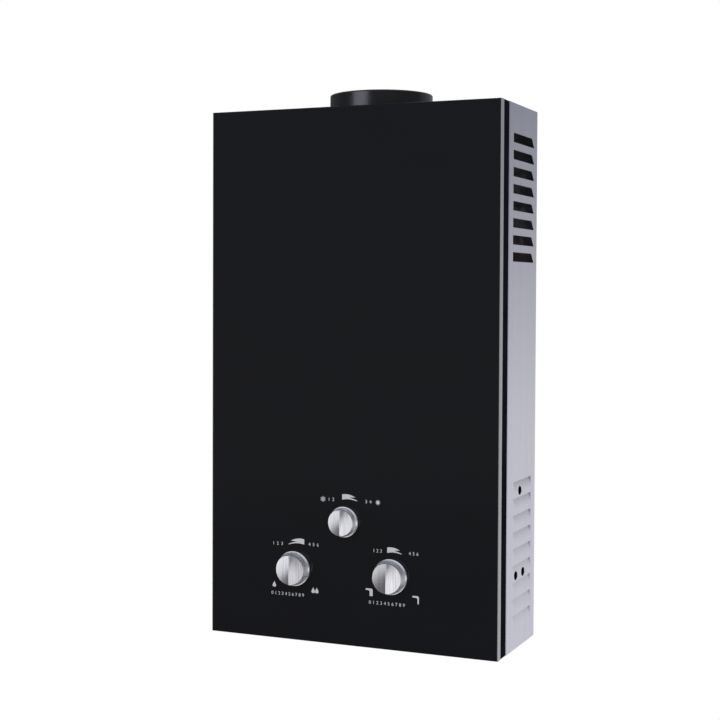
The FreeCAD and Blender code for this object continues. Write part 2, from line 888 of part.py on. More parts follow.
def frustum(name, low_x, low_y, high_x, high_y, z):
    """A tapered block between two upright levels, given by its rectangles' spans."""
    item = document.addObject("Part::Wedge", name)
    item.Placement = FreeCAD.Placement(FreeCAD.Vector(), FreeCAD.Rotation(FreeCAD.Vector(1, 0, 0), 90))
    bind(item, Xmin=low_x[0], Xmax=low_x[1], Zmin=-low_y[1], Zmax=-low_y[0])
    bind(item, X2min=high_x[0], X2max=high_x[1], Z2min=-high_y[1], Z2max=-high_y[0])
    bind(item, Ymin=z[0], Ymax=z[1])
    return item


def hood_solid(name, inset, reach):
    """The hood's outer form, or its inside when it is drawn smaller by the metal."""
    skirt_x = middle(0, size.exchanger_width / 2 - inset)
    skirt_y = middle(pipe_line, size.exchanger_depth / 2 - inset)
    neck_x = middle(size.flue_offset, size.hood_half_width - inset)
    neck_y = middle(-size.flue_depth, size.hood_half_depth - inset)
    neck_foot = top_under - size.hood_neck_height
    slope_foot = exchanger_top + size.hood_skirt_height
    return fuse(
        name,
        box(name + "_skirt", skirt_x, skirt_y, (exchanger_top - reach, slope_foot)),
        frustum(name + "_slope", skirt_x, skirt_y, neck_x, neck_y, (slope_foot, neck_foot)),
        box(name + "_neck", neck_x, neck_y, (neck_foot, top_under + reach)),
    )


def draft_hood():
    """Gathers the flue gas from the fins to the flue, with a relief window at each end."""
    outside = hood_solid("hood_outside", 0, 0)
    inside = hood_solid("hood_inside", size.hood_metal, overrun)
    vent_y = middle(pipe_line, size.hood_vent_width / 2)
    vent_foot = exchanger_top + size.hood_vent_rise
    vent_z = (vent_foot, vent_foot + size.hood_vent_height)
    vents = box("hood_vents", (-half_width, half_width), vent_y, vent_z)
    node("draft_hood", cut("draft_hood", outside, inside, vents))


def heat_exchanger():
    """The copper chamber, the fins at its top and the water tube round and through it."""
    half_x = size.exchanger_width / 2
    half_y = size.exchanger_depth / 2
    metal = size.exchanger_metal
    bore = size.tube_radius + size.running_clearance
    passes = [
        rod("fin_bore", "x", bore, (y, fin_middle), past(-half_x, half_x))
        for y in (rear_pass, pipe_line, front_pass)
    ]
    chamber_z = (size.exchanger_foot, exchanger_top)
    chamber_x = middle(0, half_x)
    chamber = rounded_block("chamber_outside", chamber_x, middle(pipe_line, half_y), chamber_z, corner_radius)
    space_x = (metal - half_x, half_x - metal)
    space_y = middle(pipe_line, half_y - metal)
    space_z = past(size.exchanger_foot, exchanger_top)
    space = rounded_block("chamber_inside", space_x, space_y, space_z, corner_radius - metal)
    node("heat_exchanger_shell", cut("heat_exchanger_shell", chamber, space, *passes))

    fin_low = size.exchanger_foot + size.fin_foot
    fins = []
    for index in range(count(size.fin_count)):
        x = fin_pitch * index - (size.fin_count - 1) * fin_pitch / 2
        fin_x = (x - size.fin_metal / 2, x + size.fin_metal / 2)
        fins.append(box("fin", fin_x, space_y, (fin_low, fin_low + size.fin_height)))
    node("heat_exchanger_fins", cut("heat_exchanger_fins", group("fin_row", fins), *passes))

    wrap = size.exchanger_foot + size.wrap_rise
    stand_off = size.seat_clearance + size.tube_radius
    wrap_front = pipe_line - half_y - stand_off
    wrap_rear = pipe_line + half_y + stand_off
    wrap_left = -half_x - stand_off
    route = [
        (pipe_side, pipe_line, size.cold_joint_rise),
        (pipe_side, pipe_line, wrap),
        (pipe_side, wrap_front, wrap),
        (wrap_left, wrap_front, wrap),
        (wrap_left, wrap_rear, wrap),
        (pipe_side, wrap_rear, wrap),
        (pipe_side, rear_pass, fin_middle),
        (-pipe_side, rear_pass, fin_middle),
        (-pipe_side, pipe_line, fin_middle),
        (pipe_side, pipe_line, fin_middle),
        (pipe_side, front_pass, fin_middle),
        (-pipe_side, front_pass, fin_middle),
        (-pipe_side, front_pass, size.hot_joint_rise),
    ]
    node("heat_exchanger_coil", pipe("heat_exchanger_coil", route))


def connecting_pipes():
    """The pipes between the valve, the coil and the outlet, and the unions on the coil's ends."""
    valve_top = size.lower_knob_rise + size.outlet_leg_height
    cold_route = [
        (size.water_place, pipe_line, valve_top),
        (size.water_place, pipe_line, size.cold_turn_rise),
        (pipe_side, pipe_line, size.cold_turn_rise),
        (pipe_side, pipe_line, size.cold_joint_rise),
    ]
    node("cold_pipe", pipe("cold_pipe", cold_route))
    hot_route = [
        (-pipe_side, front_pass, size.hot_joint_rise),
        (-pipe_side, front_pass, size.hot_shift_rise + size.tube_bend),
        (-pipe_side, pipe_line, size.hot_shift_rise - size.tube_bend),
        (-pipe_side, pipe_line, size.leg_foot),
    ]
    node("hot_pipe", pipe("hot_pipe", hot_route))
    bore = size.tube_radius + size.running_clearance
    unions = []
    joints = ((pipe_side, pipe_line, size.cold_joint_rise), (-pipe_side, front_pass, size.hot_joint_rise))
    for x, y, z in joints:
        span = middle(z, size.union_height / 2)
        nut = hexagon("union_nut", size.union_flats, (x, y), span)
        unions.append(cut("union_bored", nut, rod("union_bore", "z", bore, (x, y), past(*span))))
    node("pipe_unions", group("pipe_unions", unions))

    clip_z = middle(size.thermostat_rise, size.thermostat_size / 3)
    clip_x = middle(-pipe_side, size.thermostat_size / 2)
    clip = box("thermostat_clip", clip_x, middle(front_pass, size.thermostat_size / 2), clip_z)
    clip_bore = rod("thermostat_bore", "z", bore, (-pipe_side, front_pass), past(*clip_z))
    node("overheat_thermostat", cut("overheat_thermostat", clip, clip_bore))


def burner():
    """The burner tray with its rails, the row of hollow burner bars, the manifold and its nozzles."""
    metal = size.tray_metal
    half_x = size.exchanger_width / 2 + size.tray_overlap
    half_y = size.exchanger_depth / 2 + size.tray_overlap
    tray_front = pipe_line - half_y
    tray_rear = pipe_line + half_y
    tray_top = size.exchanger_foot
    tray_foot = tray_top - size.tray_height
    lip_x = (size.tray_lip - half_x, half_x - size.tray_lip)
    lip_y = middle(pipe_line, half_y - size.tray_lip)
    inside_x = (metal - half_x, half_x - metal)
    outside = box("burner_outside", (-half_x, half_x), (tray_front, tray_rear), (tray_foot, tray_top))
    inside_y = (tray_front + metal, tray_rear - metal)
    hollow = box("burner_inside", inside_x, inside_y, (tray_foot - overrun, tray_top - metal))
    mouth = box("burner_mouth", lip_x, lip_y, (tray_foot, tray_top + overrun))
    bar_half = size.bar_length / 2
    bar_top = tray_top - size.bar_drop
    rail_z = (bar_top - size.rail_height - size.rail_drop, bar_top - size.rail_drop)
    electrode_z = tray_top - size.electrode_drop
    wires = [
        rod("tray_electrode_hole", "y", size.electrode_radius + size.running_clearance, (x, electrode_z),
            (tray_front - overrun, tray_front + metal + overrun))
        for x in electrode_places
    ]
    ring = cut("burner_ring", outside, hollow, mouth, *wires)
    manifold_y = (-size.manifold_front, size.manifold_depth - size.manifold_front)
    cheek_z = (size.manifold_rise, tray_foot)
    ledges = [
        box("front_rail", inside_x, (inside_y[0], pipe_line - bar_half), rail_z),
        box("rear_rail", inside_x, (pipe_line + bar_half, inside_y[1]), rail_z),
        box("left_cheek", (-half_x, metal - half_x), (tray_front, manifold_y[1]), cheek_z),
        box("right_cheek", (half_x - metal, half_x), (tray_front, manifold_y[1]), cheek_z),
    ]
    for side in (-1, 1):
        tab_x = middle(side * size.tray_bracket_spread, size.tray_bracket_width / 2)
        foot_y = (back_front - metal, back_front)
        ledges.append(box("tray_tab", tab_x, (tray_rear, back_front), (tray_foot, tray_foot + metal)))
        ledges.append(box("tray_foot", tab_x, foot_y, (tray_foot, tray_top - metal)))
    node("burner_tray", fuse("burner_tray", ring, *ledges))

    bar_foot = bar_top - size.bar_height
    bar_front = pipe_line - bar_half
    bar_rear = pipe_line + bar_half
    throat_front = bar_rear - size.throat_length
    profile = [
        (throat_front, bar_foot),
        (bar_rear, bar_foot),
        (bar_rear, bar_top),
        (bar_front, bar_top),
        (bar_front, bar_top - size.bar_thickness),
        (throat_front, bar_foot + size.throat_height),
    ]
    wall = size.bar_metal
    throat_top = bar_foot + size.throat_height - wall
    hollow = [
        (throat_front - wall, bar_foot + wall),
        (bar_rear - wall, bar_foot + wall),
        (bar_rear - wall, bar_top - wall),
        (bar_front + wall, bar_top - wall),
        (bar_front + wall, bar_top - size.bar_thickness + wall),
        (throat_front + 3 * wall, throat_top),
        (throat_front - wall, throat_top),
    ]
    nozzle_z = size.manifold_rise + size.manifold_height / 2
    bars = []
    nozzles = []
    for index in range(count(size.bar_count)):
        x = bar_pitch * index - (size.bar_count - 1) * bar_pitch / 2
        bar = prism("bar", "yz", profile, middle(x, size.bar_thickness / 2))
        inside = prism("bar_inside", "yz", hollow, middle(x, size.bar_thickness / 2 - wall))
        slot_x = (x - size.flame_slot_width / 2, x + size.flame_slot_width / 2)
        slot_y = (bar_front + size.flame_slot_width, bar_rear - size.flame_slot_width)
        slot = box("flame_slot", slot_x, slot_y, (bar_top - size.flame_slot_depth, bar_top + overrun))
        bars.append(cut("bar_slotted", bar, inside, slot))
        nozzle_y = (manifold_y[1], manifold_y[1] + size.nozzle_length)
        nozzles.append(rod("nozzle", "y", size.nozzle_radius, (x, nozzle_z), nozzle_y))
    node("burner_bars", group("burner_bars", bars))
    node("gas_nozzles", group("gas_nozzles", nozzles))
    manifold_z = (size.manifold_rise, size.manifold_rise + size.manifold_height)
    node("gas_manifold", box("gas_manifold", inside_x, manifold_y, manifold_z))

    plate_y = (tray_front - metal, tray_front)
    plate_x = (-size.plate_width / 2, size.plate_width / 2)
    plate = box("electrode_plate", plate_x, plate_y, (tray_top - size.plate_height, tray_top))
    hole_radius = size.electrode_radius + size.running_clearance
    plate_span = (plate_y[0] - overrun, plate_y[1] + overrun)
    holes = [rod("plate_hole", "y", hole_radius, (x, electrode_z), plate_span) for x in electrode_places]
    node("electrode_bracket", cut("electrode_bracket", plate, *holes))

    ceramic_front = tray_front - size.electrode_reach
    ceramic_rear = ceramic_front + size.electrode_length
    boots = []
    for name, x in zip(("flame_sensor", "ignition_electrode"), electrode_places):
        spot = (x, electrode_z)
        ceramic = rod(name + "_ceramic", "y", size.electrode_radius, spot, (ceramic_front, ceramic_rear))
        wire_span = (ceramic_rear, ceramic_rear + size.electrode_reach)
        wire = rod(name + "_wire", "y", size.electrode_wire, spot, wire_span)
        node(name, fuse(name, ceramic, wire))
        boot_span = (boot_front, boot_front + size.boot_length)
        boot = rod("boot_outside", "y", size.boot_radius, spot, boot_span)
        socket = rod("boot_socket", "y", hole_radius, spot, (ceramic_front, boot_span[1] + overrun))
        boots.append(cut("boot", boot, socket))
    node("electrode_boots", group("electrode_boots", boots))


def ignition():
    """The pulse igniter on the wall plate and the lead from it to the ignition electrode."""
    depth = (back_front - size.igniter_depth, back_front)
    width = (igniter_left, igniter_left + size.igniter_width)
    height = (size.igniter_rise, size.igniter_rise + size.igniter_height)
    node("igniter_box", rounded_block("igniter_box", width, depth, height, size.igniter_rounding, "y"))
    lead_x = igniter_left + size.lead_inset
    lead_y = back_front - size.igniter_depth / 2
    socket_y = boot_front + size.boot_length / 2
    boot_under = size.exchanger_foot - size.electrode_drop - size.boot_radius
    route = [
        (lead_x, lead_y, height[1]),
        (lead_x, lead_y, size.lead_rise),
        (lead_x, socket_y, size.lead_rise),
        (electrode_places[1], socket_y, size.lead_rise),
        (electrode_places[1], socket_y, boot_under),
    ]
    lead = document.addObject("Part::Feature", "ignition_lead")
    lead.Shape = bent_bar(route, size.lead_bend, size.lead_radius)
    node("ignition_lead", lead)


def spindle_bore(x, z):
    """The hole that a spindle turns in, from a boss's face inwards."""
    radius = size.spindle_radius + size.running_clearance
    face = -size.boss_front
    return rod("spindle_bore", "y", radius, (x, z), (face - overrun, face + size.spindle_depth))


def valve_screw_spots():
    """The four screws that clamp the diaphragm, as Y and Z."""
    reach = size.valve_screw_ring * math.sqrt(0.5)
    return [(pipe_line + a * reach, size.lower_knob_rise + b * reach) for a in (-1, 1) for b in (-1, 1)]


def gas_valve():
    """The gas section, its solenoid and the distributor that leads the gas up to the manifold."""
    axis = (pipe_line, size.lower_knob_rise)
    right = size.fire_place - size.gas_body_left + size.gas_body_width
    left = size.fire_place - size.gas_body_left
    body_z = middle(size.lower_knob_rise, size.gas_body_height / 2)
    port_z = (body_z[1], body_z[1] + size.gas_port_height)
    body_y = middle(pipe_line, size.gas_body_depth / 2)
    port_x = middle(size.fire_place, size.gas_port_width / 2)
    port_y = middle(pipe_line, size.gas_port_depth / 2)
    leg_z = (size.leg_foot, body_z[0])
    casting = fuse(
        "gas_casting",
        box("gas_block", (left, right), body_y, body_z),
        box("gas_port", port_x, port_y, port_z),
        rod("gas_boss", "y", size.gas_boss_radius, knob_places["fire"], (-size.boss_front, body_y[0])),
        rod("gas_leg", "z", size.inlet_leg_radius, (size.fire_place, pipe_line), leg_z),
        rod("gas_neck", "x", size.gas_neck_radius, axis, (right, right + size.gas_neck_length)),
    )
    push_bore = rod(
        "gas_push_bore", "x", size.push_rod_radius + size.running_clearance, axis,
        (push_rod_end - 2 * size.push_rod_travel, right + size.gas_neck_length + overrun),
    )
    node("gas_valve_body", cut("gas_valve_body", casting, spindle_bore(*knob_places["fire"]), push_bore))
    solenoid_x = (size.tube_radius + size.solenoid_gap - pipe_side, left)
    node("gas_solenoid", rod("gas_solenoid", "x", size.solenoid_radius, axis, solenoid_x))

    top = port_z[1] + size.distributor_height
    riser_y = (-size.distributor_front, size.riser_depth - size.distributor_front)
    distributor_x = (size.fire_place - size.distributor_left, size.season_place + size.distributor_right)
    distributor_y = (-size.distributor_front, -size.distributor_rear)
    boss_y = (-size.boss_front, -size.distributor_front)
    riser_x = (size.season_place - size.riser_width, size.season_place)
    distributor = fuse(
        "distributor_casting",
        box("distributor_block", distributor_x, distributor_y, (port_z[1], top)),
        box("distributor_riser", riser_x, riser_y, (top, size.manifold_rise)),
        rod("season_boss", "y", size.season_boss_radius, knob_places["season"], boss_y),
    )
    node("gas_distributor", cut("gas_distributor", distributor, spindle_bore(*knob_places["season"])))

    plate_x = (right, lever_pivot + size.switch_width / 2)
    switch_rear = pipe_line + size.switch_depth / 2
    plate_y = (switch_rear, switch_rear + size.bracket_metal)
    plate_z = (switch_foot, switch_foot + size.switch_height)
    foot_y = (switch_rear, body_y[1])
    node("switch_bracket", fuse(
        "switch_bracket",
        box("switch_plate", plate_x, plate_y, plate_z),
        box("switch_plate_foot", (right, right + size.bracket_metal), foot_y, (switch_foot, body_z[1])),
    ))


def water_valve():
    """The water section: flange, diaphragm, cover, drain boss and the four clamping screws."""
    axis = (pipe_line, size.lower_knob_rise)
    cover_left = size.diaphragm_place - size.cover_depth
    flange_left = size.diaphragm_place + size.diaphragm_metal
    flange_right = flange_left + size.flange_depth
    screw_bore = size.valve_screw_radius + size.running_clearance
    screw_bores = [
        rod("valve_screw_bore", "x", screw_bore, spot, (cover_left - overrun, flange_right + overrun))
        for spot in valve_screw_spots()
    ]
    drain_spot = (size.drain_place, pipe_line)
    drain_boss_foot = size.lower_knob_rise - size.water_body_radius - size.drain_boss_height
    water_spot = (size.water_place, pipe_line)
    leg_top = size.lower_knob_rise + size.outlet_leg_height
    casting = fuse(
        "water_casting",
        rod("water_block", "x", size.water_body_radius, axis, (flange_right, size.water_body_end)),
        rod("water_flange", "x", size.diaphragm_radius, axis, (flange_left, flange_right)),
        rod("water_boss", "y", size.water_boss_radius, knob_places["water"], (-size.boss_front, pipe_line)),
        rod("water_leg", "z", size.inlet_leg_radius, water_spot, (size.leg_foot, size.lower_knob_rise)),
        rod("water_outlet_leg", "z", size.outlet_leg_radius, water_spot, (size.lower_knob_rise, leg_top)),
        rod("drain_boss", "z", size.drain_boss_radius, drain_spot, (drain_boss_foot, size.lower_knob_rise)),
    )
    drain_top = drain_boss_foot + size.drain_boss_height / 2
    drain_bore_radius = size.drain_shank_radius + size.running_clearance
    drain_bore_z = past(drain_boss_foot, drain_top)
    drain_bore = rod("drain_bore", "z", drain_bore_radius, drain_spot, drain_bore_z)
    bores = [spindle_bore(*knob_places["water"]), drain_bore] + screw_bores
    node("water_valve_body", cut("water_valve_body", casting, *bores))

    disc = rod("diaphragm_disc", "x", size.diaphragm_radius, axis, (size.diaphragm_place, flange_left))
    node("diaphragm", cut("diaphragm", disc, *screw_bores))

    neck = (cover_left - size.cover_neck_length, cover_left)
    cover = fuse(
        "cover_solid",
        rod("cover_disc", "x", size.diaphragm_radius, axis, (cover_left, size.diaphragm_place)),
        rod("cover_neck", "x", size.gas_neck_radius, axis, neck),
    )
    chamber_x = (cover_left + size.cover_floor, size.diaphragm_place + overrun)
    chamber = rod("cover_chamber", "x", size.cover_chamber_radius, axis, chamber_x)
    push_bore_radius = size.push_rod_radius + size.running_clearance
    push_bore = rod("cover_push_bore", "x", push_bore_radius, axis, (neck[0] - overrun, size.diaphragm_place))
    node("diaphragm_cover", cut("diaphragm_cover", cover, chamber, push_bore, *screw_bores))

    screws = []
    for spot in valve_screw_spots():
        head = (cover_left - size.screw_head_height, cover_left)
        screws.append(fuse(
            "valve_screw",
            rod("valve_screw_head", "x", size.screw_head_radius, spot, head),
            rod("valve_screw_shank", "x", size.valve_screw_radius, spot, (cover_left, flange_right)),
        ))
    node("valve_screws", group("valve_screws", screws))

    grip_z = (-size.drain_drop, size.drain_grip_height - size.drain_drop)
    node("drain_plug", fuse(
        "drain_plug",
        rod("drain_grip", "z", size.drain_grip_radius, drain_spot, grip_z),
        rod("drain_shank", "z", size.drain_shank_radius, drain_spot, (grip_z[1], drain_top)),
    ))


def push_rod():
    """The rod that the diaphragm pushes to the left, with its plate and the switch collar."""
    axis = (pipe_line, size.lower_knob_rise)
    collar_x = (collar_left, collar_left + size.push_collar_length)
    plate_x = (push_plate_face - size.push_plate_metal, push_plate_face)
    node("push_rod", fuse(
        "push_rod",
        rod("push_bar", "x", size.push_rod_radius, axis, (push_rod_end, push_plate_face)),
        rod("push_plate", "x", size.push_plate_radius, axis, plate_x),
        rod("push_collar", "x", size.push_collar_radius, axis, collar_x),
    ))


def micro_switch():
    """The switch that starts the ignition, and its lever that hangs against the rod's collar."""
    half_depth = size.switch_depth / 2
    ear = size.switch_ear
    ear_z = (lever_rise - size.lever_eye_radius, switch_foot)
    ear_x = middle(lever_pivot, size.switch_ear_width / 2)
    spot = (lever_pivot, lever_rise)
    node("micro_switch", fuse(
        "micro_switch",
        box("switch_case", middle(lever_pivot, size.switch_width / 2), middle(pipe_line, half_depth),
            (switch_foot, switch_foot + size.switch_height)),
        box("switch_front_ear", ear_x, (pipe_line - half_depth, pipe_line - half_depth + ear), ear_z),
        box("switch_rear_ear", ear_x, (pipe_line + half_depth - ear, pipe_line + half_depth), ear_z),
        rod("switch_pin", "y", size.lever_pin_radius, spot, middle(pipe_line, half_depth)),
    ))
    lever_y = middle(pipe_line, half_depth - ear - size.lever_side_gap)
    blade_z = (lever_rise - size.lever_arm, lever_rise)
    blade = fuse(
        "lever_blade",
        box("lever_strip", middle(lever_pivot, size.lever_metal / 2), lever_y, blade_z),
        rod("lever_eye", "y", size.lever_eye_radius, spot, lever_y),
    )
    eye_radius = size.lever_pin_radius + size.running_clearance
    eye = rod("lever_bore", "y", eye_radius, spot, (lever_y[0] - overrun, lever_y[1] + overrun))
    node("switch_lever", cut("switch_lever", blade, eye))


def knob(name, spot, share):
    """A turned knob whose face is split by an upright crease into two halves that lean opposite ways."""
    radius = size.knob_radius * share
    face = size.knob_face_radius * share
    height = size.knob_height * share
    edge = size.knob_edge
    skirt = size.knob_skirt
    profile = [
        (0, size.knob_gap),
        (radius - edge, size.knob_gap),
        (radius, size.knob_gap + edge),
        (radius, skirt),
        (radius - edge, skirt + edge),
        (face + edge, skirt + edge),
        (face, height - edge),
        (face - edge, height),
        (0, height),
    ]
    blank = turned(name + "_blank", "y", profile)
    front = -height - 1
    shallow = -height
    deep = size.knob_twist * share - height
    right_cut = [(front, -radius), (shallow, -radius), (deep, radius), (front, radius)]
    left_cut = [(front, -radius), (deep, -radius), (shallow, radius), (front, radius)]
    right = prism(name + "_right_lean", "yz", right_cut, (0, radius))
    left = prism(name + "_left_lean", "yz", left_cut, (-radius, 0))
    grip_radius = size.spindle_radius + size.spindle_fit
    grip = rod(name + "_bore", "y", grip_radius, (0, 0), (-size.spindle_grip, overrun))
    item = cut(name, blank, right, left, grip)
    place(item, spot[0], glass_front, spot[1])
    node(name, item)


def knobs_and_spindles():
    """The three knobs and the spindles that carry them, each with a collar before its boss."""
    for name, spot in knob_places.items():
        knob("knob_" + name, spot, size.season_knob_share if name == "season" else 1)
        collar_rear = -size.boss_front - size.seat_clearance
        shaft_span = (glass_front - size.spindle_grip, size.spindle_depth - size.boss_front - overrun)
        label = "spindle_" + name
        node(label, fuse(
            label,
            rod(label + "_shaft", "y", size.spindle_radius, spot, shaft_span),
            rod(label + "_collar", "y", size.spindle_collar_radius, spot,
                (collar_rear - size.spindle_collar_length, collar_rear)),
        ))


def pipe_ends():
    """The three threaded pipe ends below the case and their locknuts."""
    nuts = []
    for name, x in zip(("hot_outlet", "gas_inlet", "cold_inlet"), pipe_places):
        spot = (x, pipe_line)
        flange_z = (size.side_metal, size.side_metal + size.nipple_flange_height)
        nut_foot = -size.locknut_height
        solid = fuse(
            name + "_solid",
            rod(name + "_thread", "z", size.thread_radius, spot, (-size.thread_drop, nut_foot)),
            rod(name + "_shank", "z", size.shank_radius, spot, (nut_foot, flange_z[0])),
            hexagon(name + "_hexagon", size.nipple_flange_flats, spot, flange_z),
            rod(name + "_neck", "z", size.inlet_leg_radius, spot, (flange_z[1], size.leg_foot)),
        )
        bore_z = (-size.thread_drop - overrun, size.leg_foot - size.nipple_floor)
        node(name, cut(name, solid, rod(name + "_bore", "z", size.thread_bore, spot, bore_z)))
        nut = hexagon("locknut_solid", size.locknut_flats, spot, (nut_foot, 0))
        bore = rod("locknut_bore", "z", pipe_hole_radius, spot, (nut_foot - overrun, overrun))
        nuts.append(cut("locknut", nut, bore))
    node("pipe_locknuts", group("pipe_locknuts", nuts))


def battery_compartment():
    """The box for two upright cells, one behind the other, with its hinged door below and the contacts."""
    wall = size.battery_metal
    outer_x, outer_y = battery_span()
    inner_x = (outer_x[0] + wall, outer_x[1] - wall)
    inner_y = (outer_y[0] + wall, outer_y[1] - wall)
    pin_y = outer_y[1] + size.door_eye_radius + size.door_gap
    pin_z = -size.door_gap - size.door_metal / 2
    ear_rear = pin_y + size.door_eye_radius
    cell_foot = door_contact_top + size.seat_clearance
    cell_top = cell_foot + size.cell_length + size.cell_nub_height
    contact_z = (cell_top + size.seat_clearance, cell_top + size.seat_clearance + size.contact_metal)
    lip = size.battery_lip
    lip_z = (size.side_metal, size.side_metal + wall)
    bore_x = (outer_x[0] - overrun, outer_x[1] + overrun)
    pin_bore = rod("box_pin_bore", "x", size.door_pin_radius + size.running_clearance, (pin_y, pin_z), bore_x)
    ears = []
    knuckles = []
    ear_edges = (outer_x[0] + wall, outer_x[1] - wall - size.door_ear_width)
    for edge, inward in zip(ear_edges, (1, -1)):
        ear_x = (edge, edge + size.door_ear_width)
        ears.append(box("box_ear", ear_x, (outer_y[1], ear_rear), (pin_z, lip_z[1])))
        ears.append(rod("box_eye", "x", size.door_eye_radius, (pin_y, pin_z), ear_x))
        shift = inward * (size.door_ear_width + size.seat_clearance)
        knuckles.append((ear_x[0] + shift, ear_x[1] + shift))
    lip_span_x = (outer_x[0] - lip, outer_x[1] + lip)
    opening_y = (outer_y[0], ear_rear)
    casing = cut(
        "battery_casing",
        fuse(
            "battery_outside",
            box("battery_walls", outer_x, outer_y, (0, contact_z[1] + wall)),
            cut("battery_rim", box("battery_lip", lip_span_x, (outer_y[0] - lip, ear_rear + lip), lip_z),
                box("battery_lip_hole", outer_x, (outer_y[1], ear_rear), (0, lip_z[1] + overrun))),
            *ears,
        ),
        box("battery_inside", inner_x, inner_y, (-overrun, contact_z[1])),
        pin_bore,
    )
    node("battery_box", casing)

    cells = []
    for step in (1, 3):
        spot_y = inner_y[0] + size.cell_gap * (step + 1) / 2 + size.cell_radius * step
        spot = ((inner_x[0] + inner_x[1]) / 2, spot_y)
        cells.append(fuse(
            "cell",
            rod("cell_can", "z", size.cell_radius, spot, (cell_foot, cell_foot + size.cell_length)),
            rod("cell_nub", "z", size.cell_nub_radius, spot, (cell_foot + size.cell_length, cell_top)),
        ))
    node("batteries", group("batteries", cells))

    margin = size.contact_margin
    contact_x = (inner_x[0] + margin, inner_x[1] - margin)
    contact_y = (inner_y[0] + margin, inner_y[1] - margin)
    node("battery_contact", box("battery_contact", contact_x, contact_y, contact_z))

    door_z = (-size.door_gap - size.door_metal, -size.door_gap)
    tab_x = middle((outer_x[0] + outer_x[1]) / 2, size.door_tab_width / 2)
    door_rear = outer_y[1] - size.running_clearance
    door_pieces = [
        box("door_plate", outer_x, (outer_y[0], door_rear), door_z),
        box("door_tab", tab_x, (outer_y[0] - size.door_tab_length, outer_y[0]), door_z),
    ]
    for knuckle_x in knuckles:
        door_pieces.append(rod("door_knuckle", "x", size.door_eye_radius, (pin_y, pin_z), knuckle_x))
        door_pieces.append(box("door_arm", knuckle_x, (door_rear, pin_y), door_z))
    door_bore = rod("door_bore", "x", size.door_pin_radius + size.running_clearance, (pin_y, pin_z), bore_x)
    node("battery_door", cut("battery_door", fuse("door_solid", *door_pieces), door_bore))
    pin_x = (ear_edges[0], outer_x[1] - wall)
    node("battery_door_pin", rod("battery_door_pin", "x", size.door_pin_radius, (pin_y, pin_z), pin_x))
    strip_z = (-size.door_gap, door_contact_top)
    node("door_contact", box("door_contact", contact_x, contact_y, strip_z))


def screws():
    """The screws of the casing and of the flue's foot."""
    head = size.screw_head_height
    flange_front = back_front - size.side_metal
    casing = [screw("case_screw", "y", spot, flange_front - head, 0) for spot in case_screw_spots()]
    for x in front_screw_spots():
        casing.append(screw("front_screw", "z", (x, front_screw_line), -head, size.front_screw_length))
    node("case_screws", group("case_screws", casing))
    foot_top = case_top + size.flue_foot_metal
    flue = [
        screw("flue_screw", "z", spot, foot_top + head, case_top - size.front_screw_length)
        for spot in flue_screw_spots()
    ]
    node("flue_screws", group("flue_screws", flue))


for build in (
    wall_plate,
    side_panels,
    top_panel,
    bottom_panel,
    front_frame,
    glass_panel,
    edge_trims,
    glass_tape,
    flue_collar,
    draft_hood,
    heat_exchanger,
    connecting_pipes,
    burner,
    ignition,
    gas_valve,
    water_valve,
    push_rod,
    micro_switch,
    knobs_and_spindles,
    pipe_ends,
    battery_compartment,
    screws,
):
    build()

document.recompute()
for item in document.Objects:
    if "Invalid" in item.State or "Error" in item.State:
        raise RuntimeError("%s could not be made: %s" % (item.Label, item.State))
for item in nodes:
    if item.Shape.isNull() or not item.Shape.isValid():
        raise RuntimeError("%s has no valid shape" % item.Label)

os.makedirs("parts", exist_ok=True)
for item in nodes:
    item.Shape.exportStep("parts/%s.step" % item.Label)
    print("%-22s %2d solids %10.1f mm3" % (item.Label, len(item.Shape.Solids), item.Shape.Volume))
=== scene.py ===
import bmesh
import bpy
import json
import math
from mathutils import Matrix, Vector
from mathutils.geometry import delaunay_2d_cdt


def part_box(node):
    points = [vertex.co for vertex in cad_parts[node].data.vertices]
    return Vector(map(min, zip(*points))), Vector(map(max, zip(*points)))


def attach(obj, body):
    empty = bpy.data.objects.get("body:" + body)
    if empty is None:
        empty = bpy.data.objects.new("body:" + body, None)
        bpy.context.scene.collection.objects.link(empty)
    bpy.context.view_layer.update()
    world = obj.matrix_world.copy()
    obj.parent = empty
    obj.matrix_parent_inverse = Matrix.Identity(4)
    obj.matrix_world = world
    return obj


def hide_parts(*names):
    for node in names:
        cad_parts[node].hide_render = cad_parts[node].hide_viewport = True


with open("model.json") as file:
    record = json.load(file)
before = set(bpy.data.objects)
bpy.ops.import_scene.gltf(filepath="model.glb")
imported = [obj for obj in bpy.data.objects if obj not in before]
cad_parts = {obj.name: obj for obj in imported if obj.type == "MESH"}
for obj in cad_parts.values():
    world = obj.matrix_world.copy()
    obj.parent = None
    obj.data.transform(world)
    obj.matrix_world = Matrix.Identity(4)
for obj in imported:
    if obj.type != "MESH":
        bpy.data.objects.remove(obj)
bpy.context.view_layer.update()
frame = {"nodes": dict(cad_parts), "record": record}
nodes = frame["nodes"]
scene = bpy.context.scene
mm = 0.001


# helpers for colours, nodes and materials

noiseSpan = (0.3, 0.7)  # most of a noise pattern lies between these values
wholeSpan = (0, 1)


def tone(code):
    # sRGB hex to linear light
    parts = [int(code[i:i + 2], 16) / 255 for i in (1, 3, 5)]
    return tuple(p / 12.92 if p <= 0.04045 else ((p + 0.055) / 1.055) ** 2.4 for p in parts) + (1.0,)


def addNode(tree, kind, inputs=None, **settings):
    node = tree.nodes.new(kind)
    for key, value in settings.items():
        setattr(node, key, value)
    for key, value in (inputs or {}).items():
        if isinstance(value, bpy.types.NodeSocket):
            tree.links.new(value, node.inputs[key])
        else:
            node.inputs[key].default_value = value
    return node


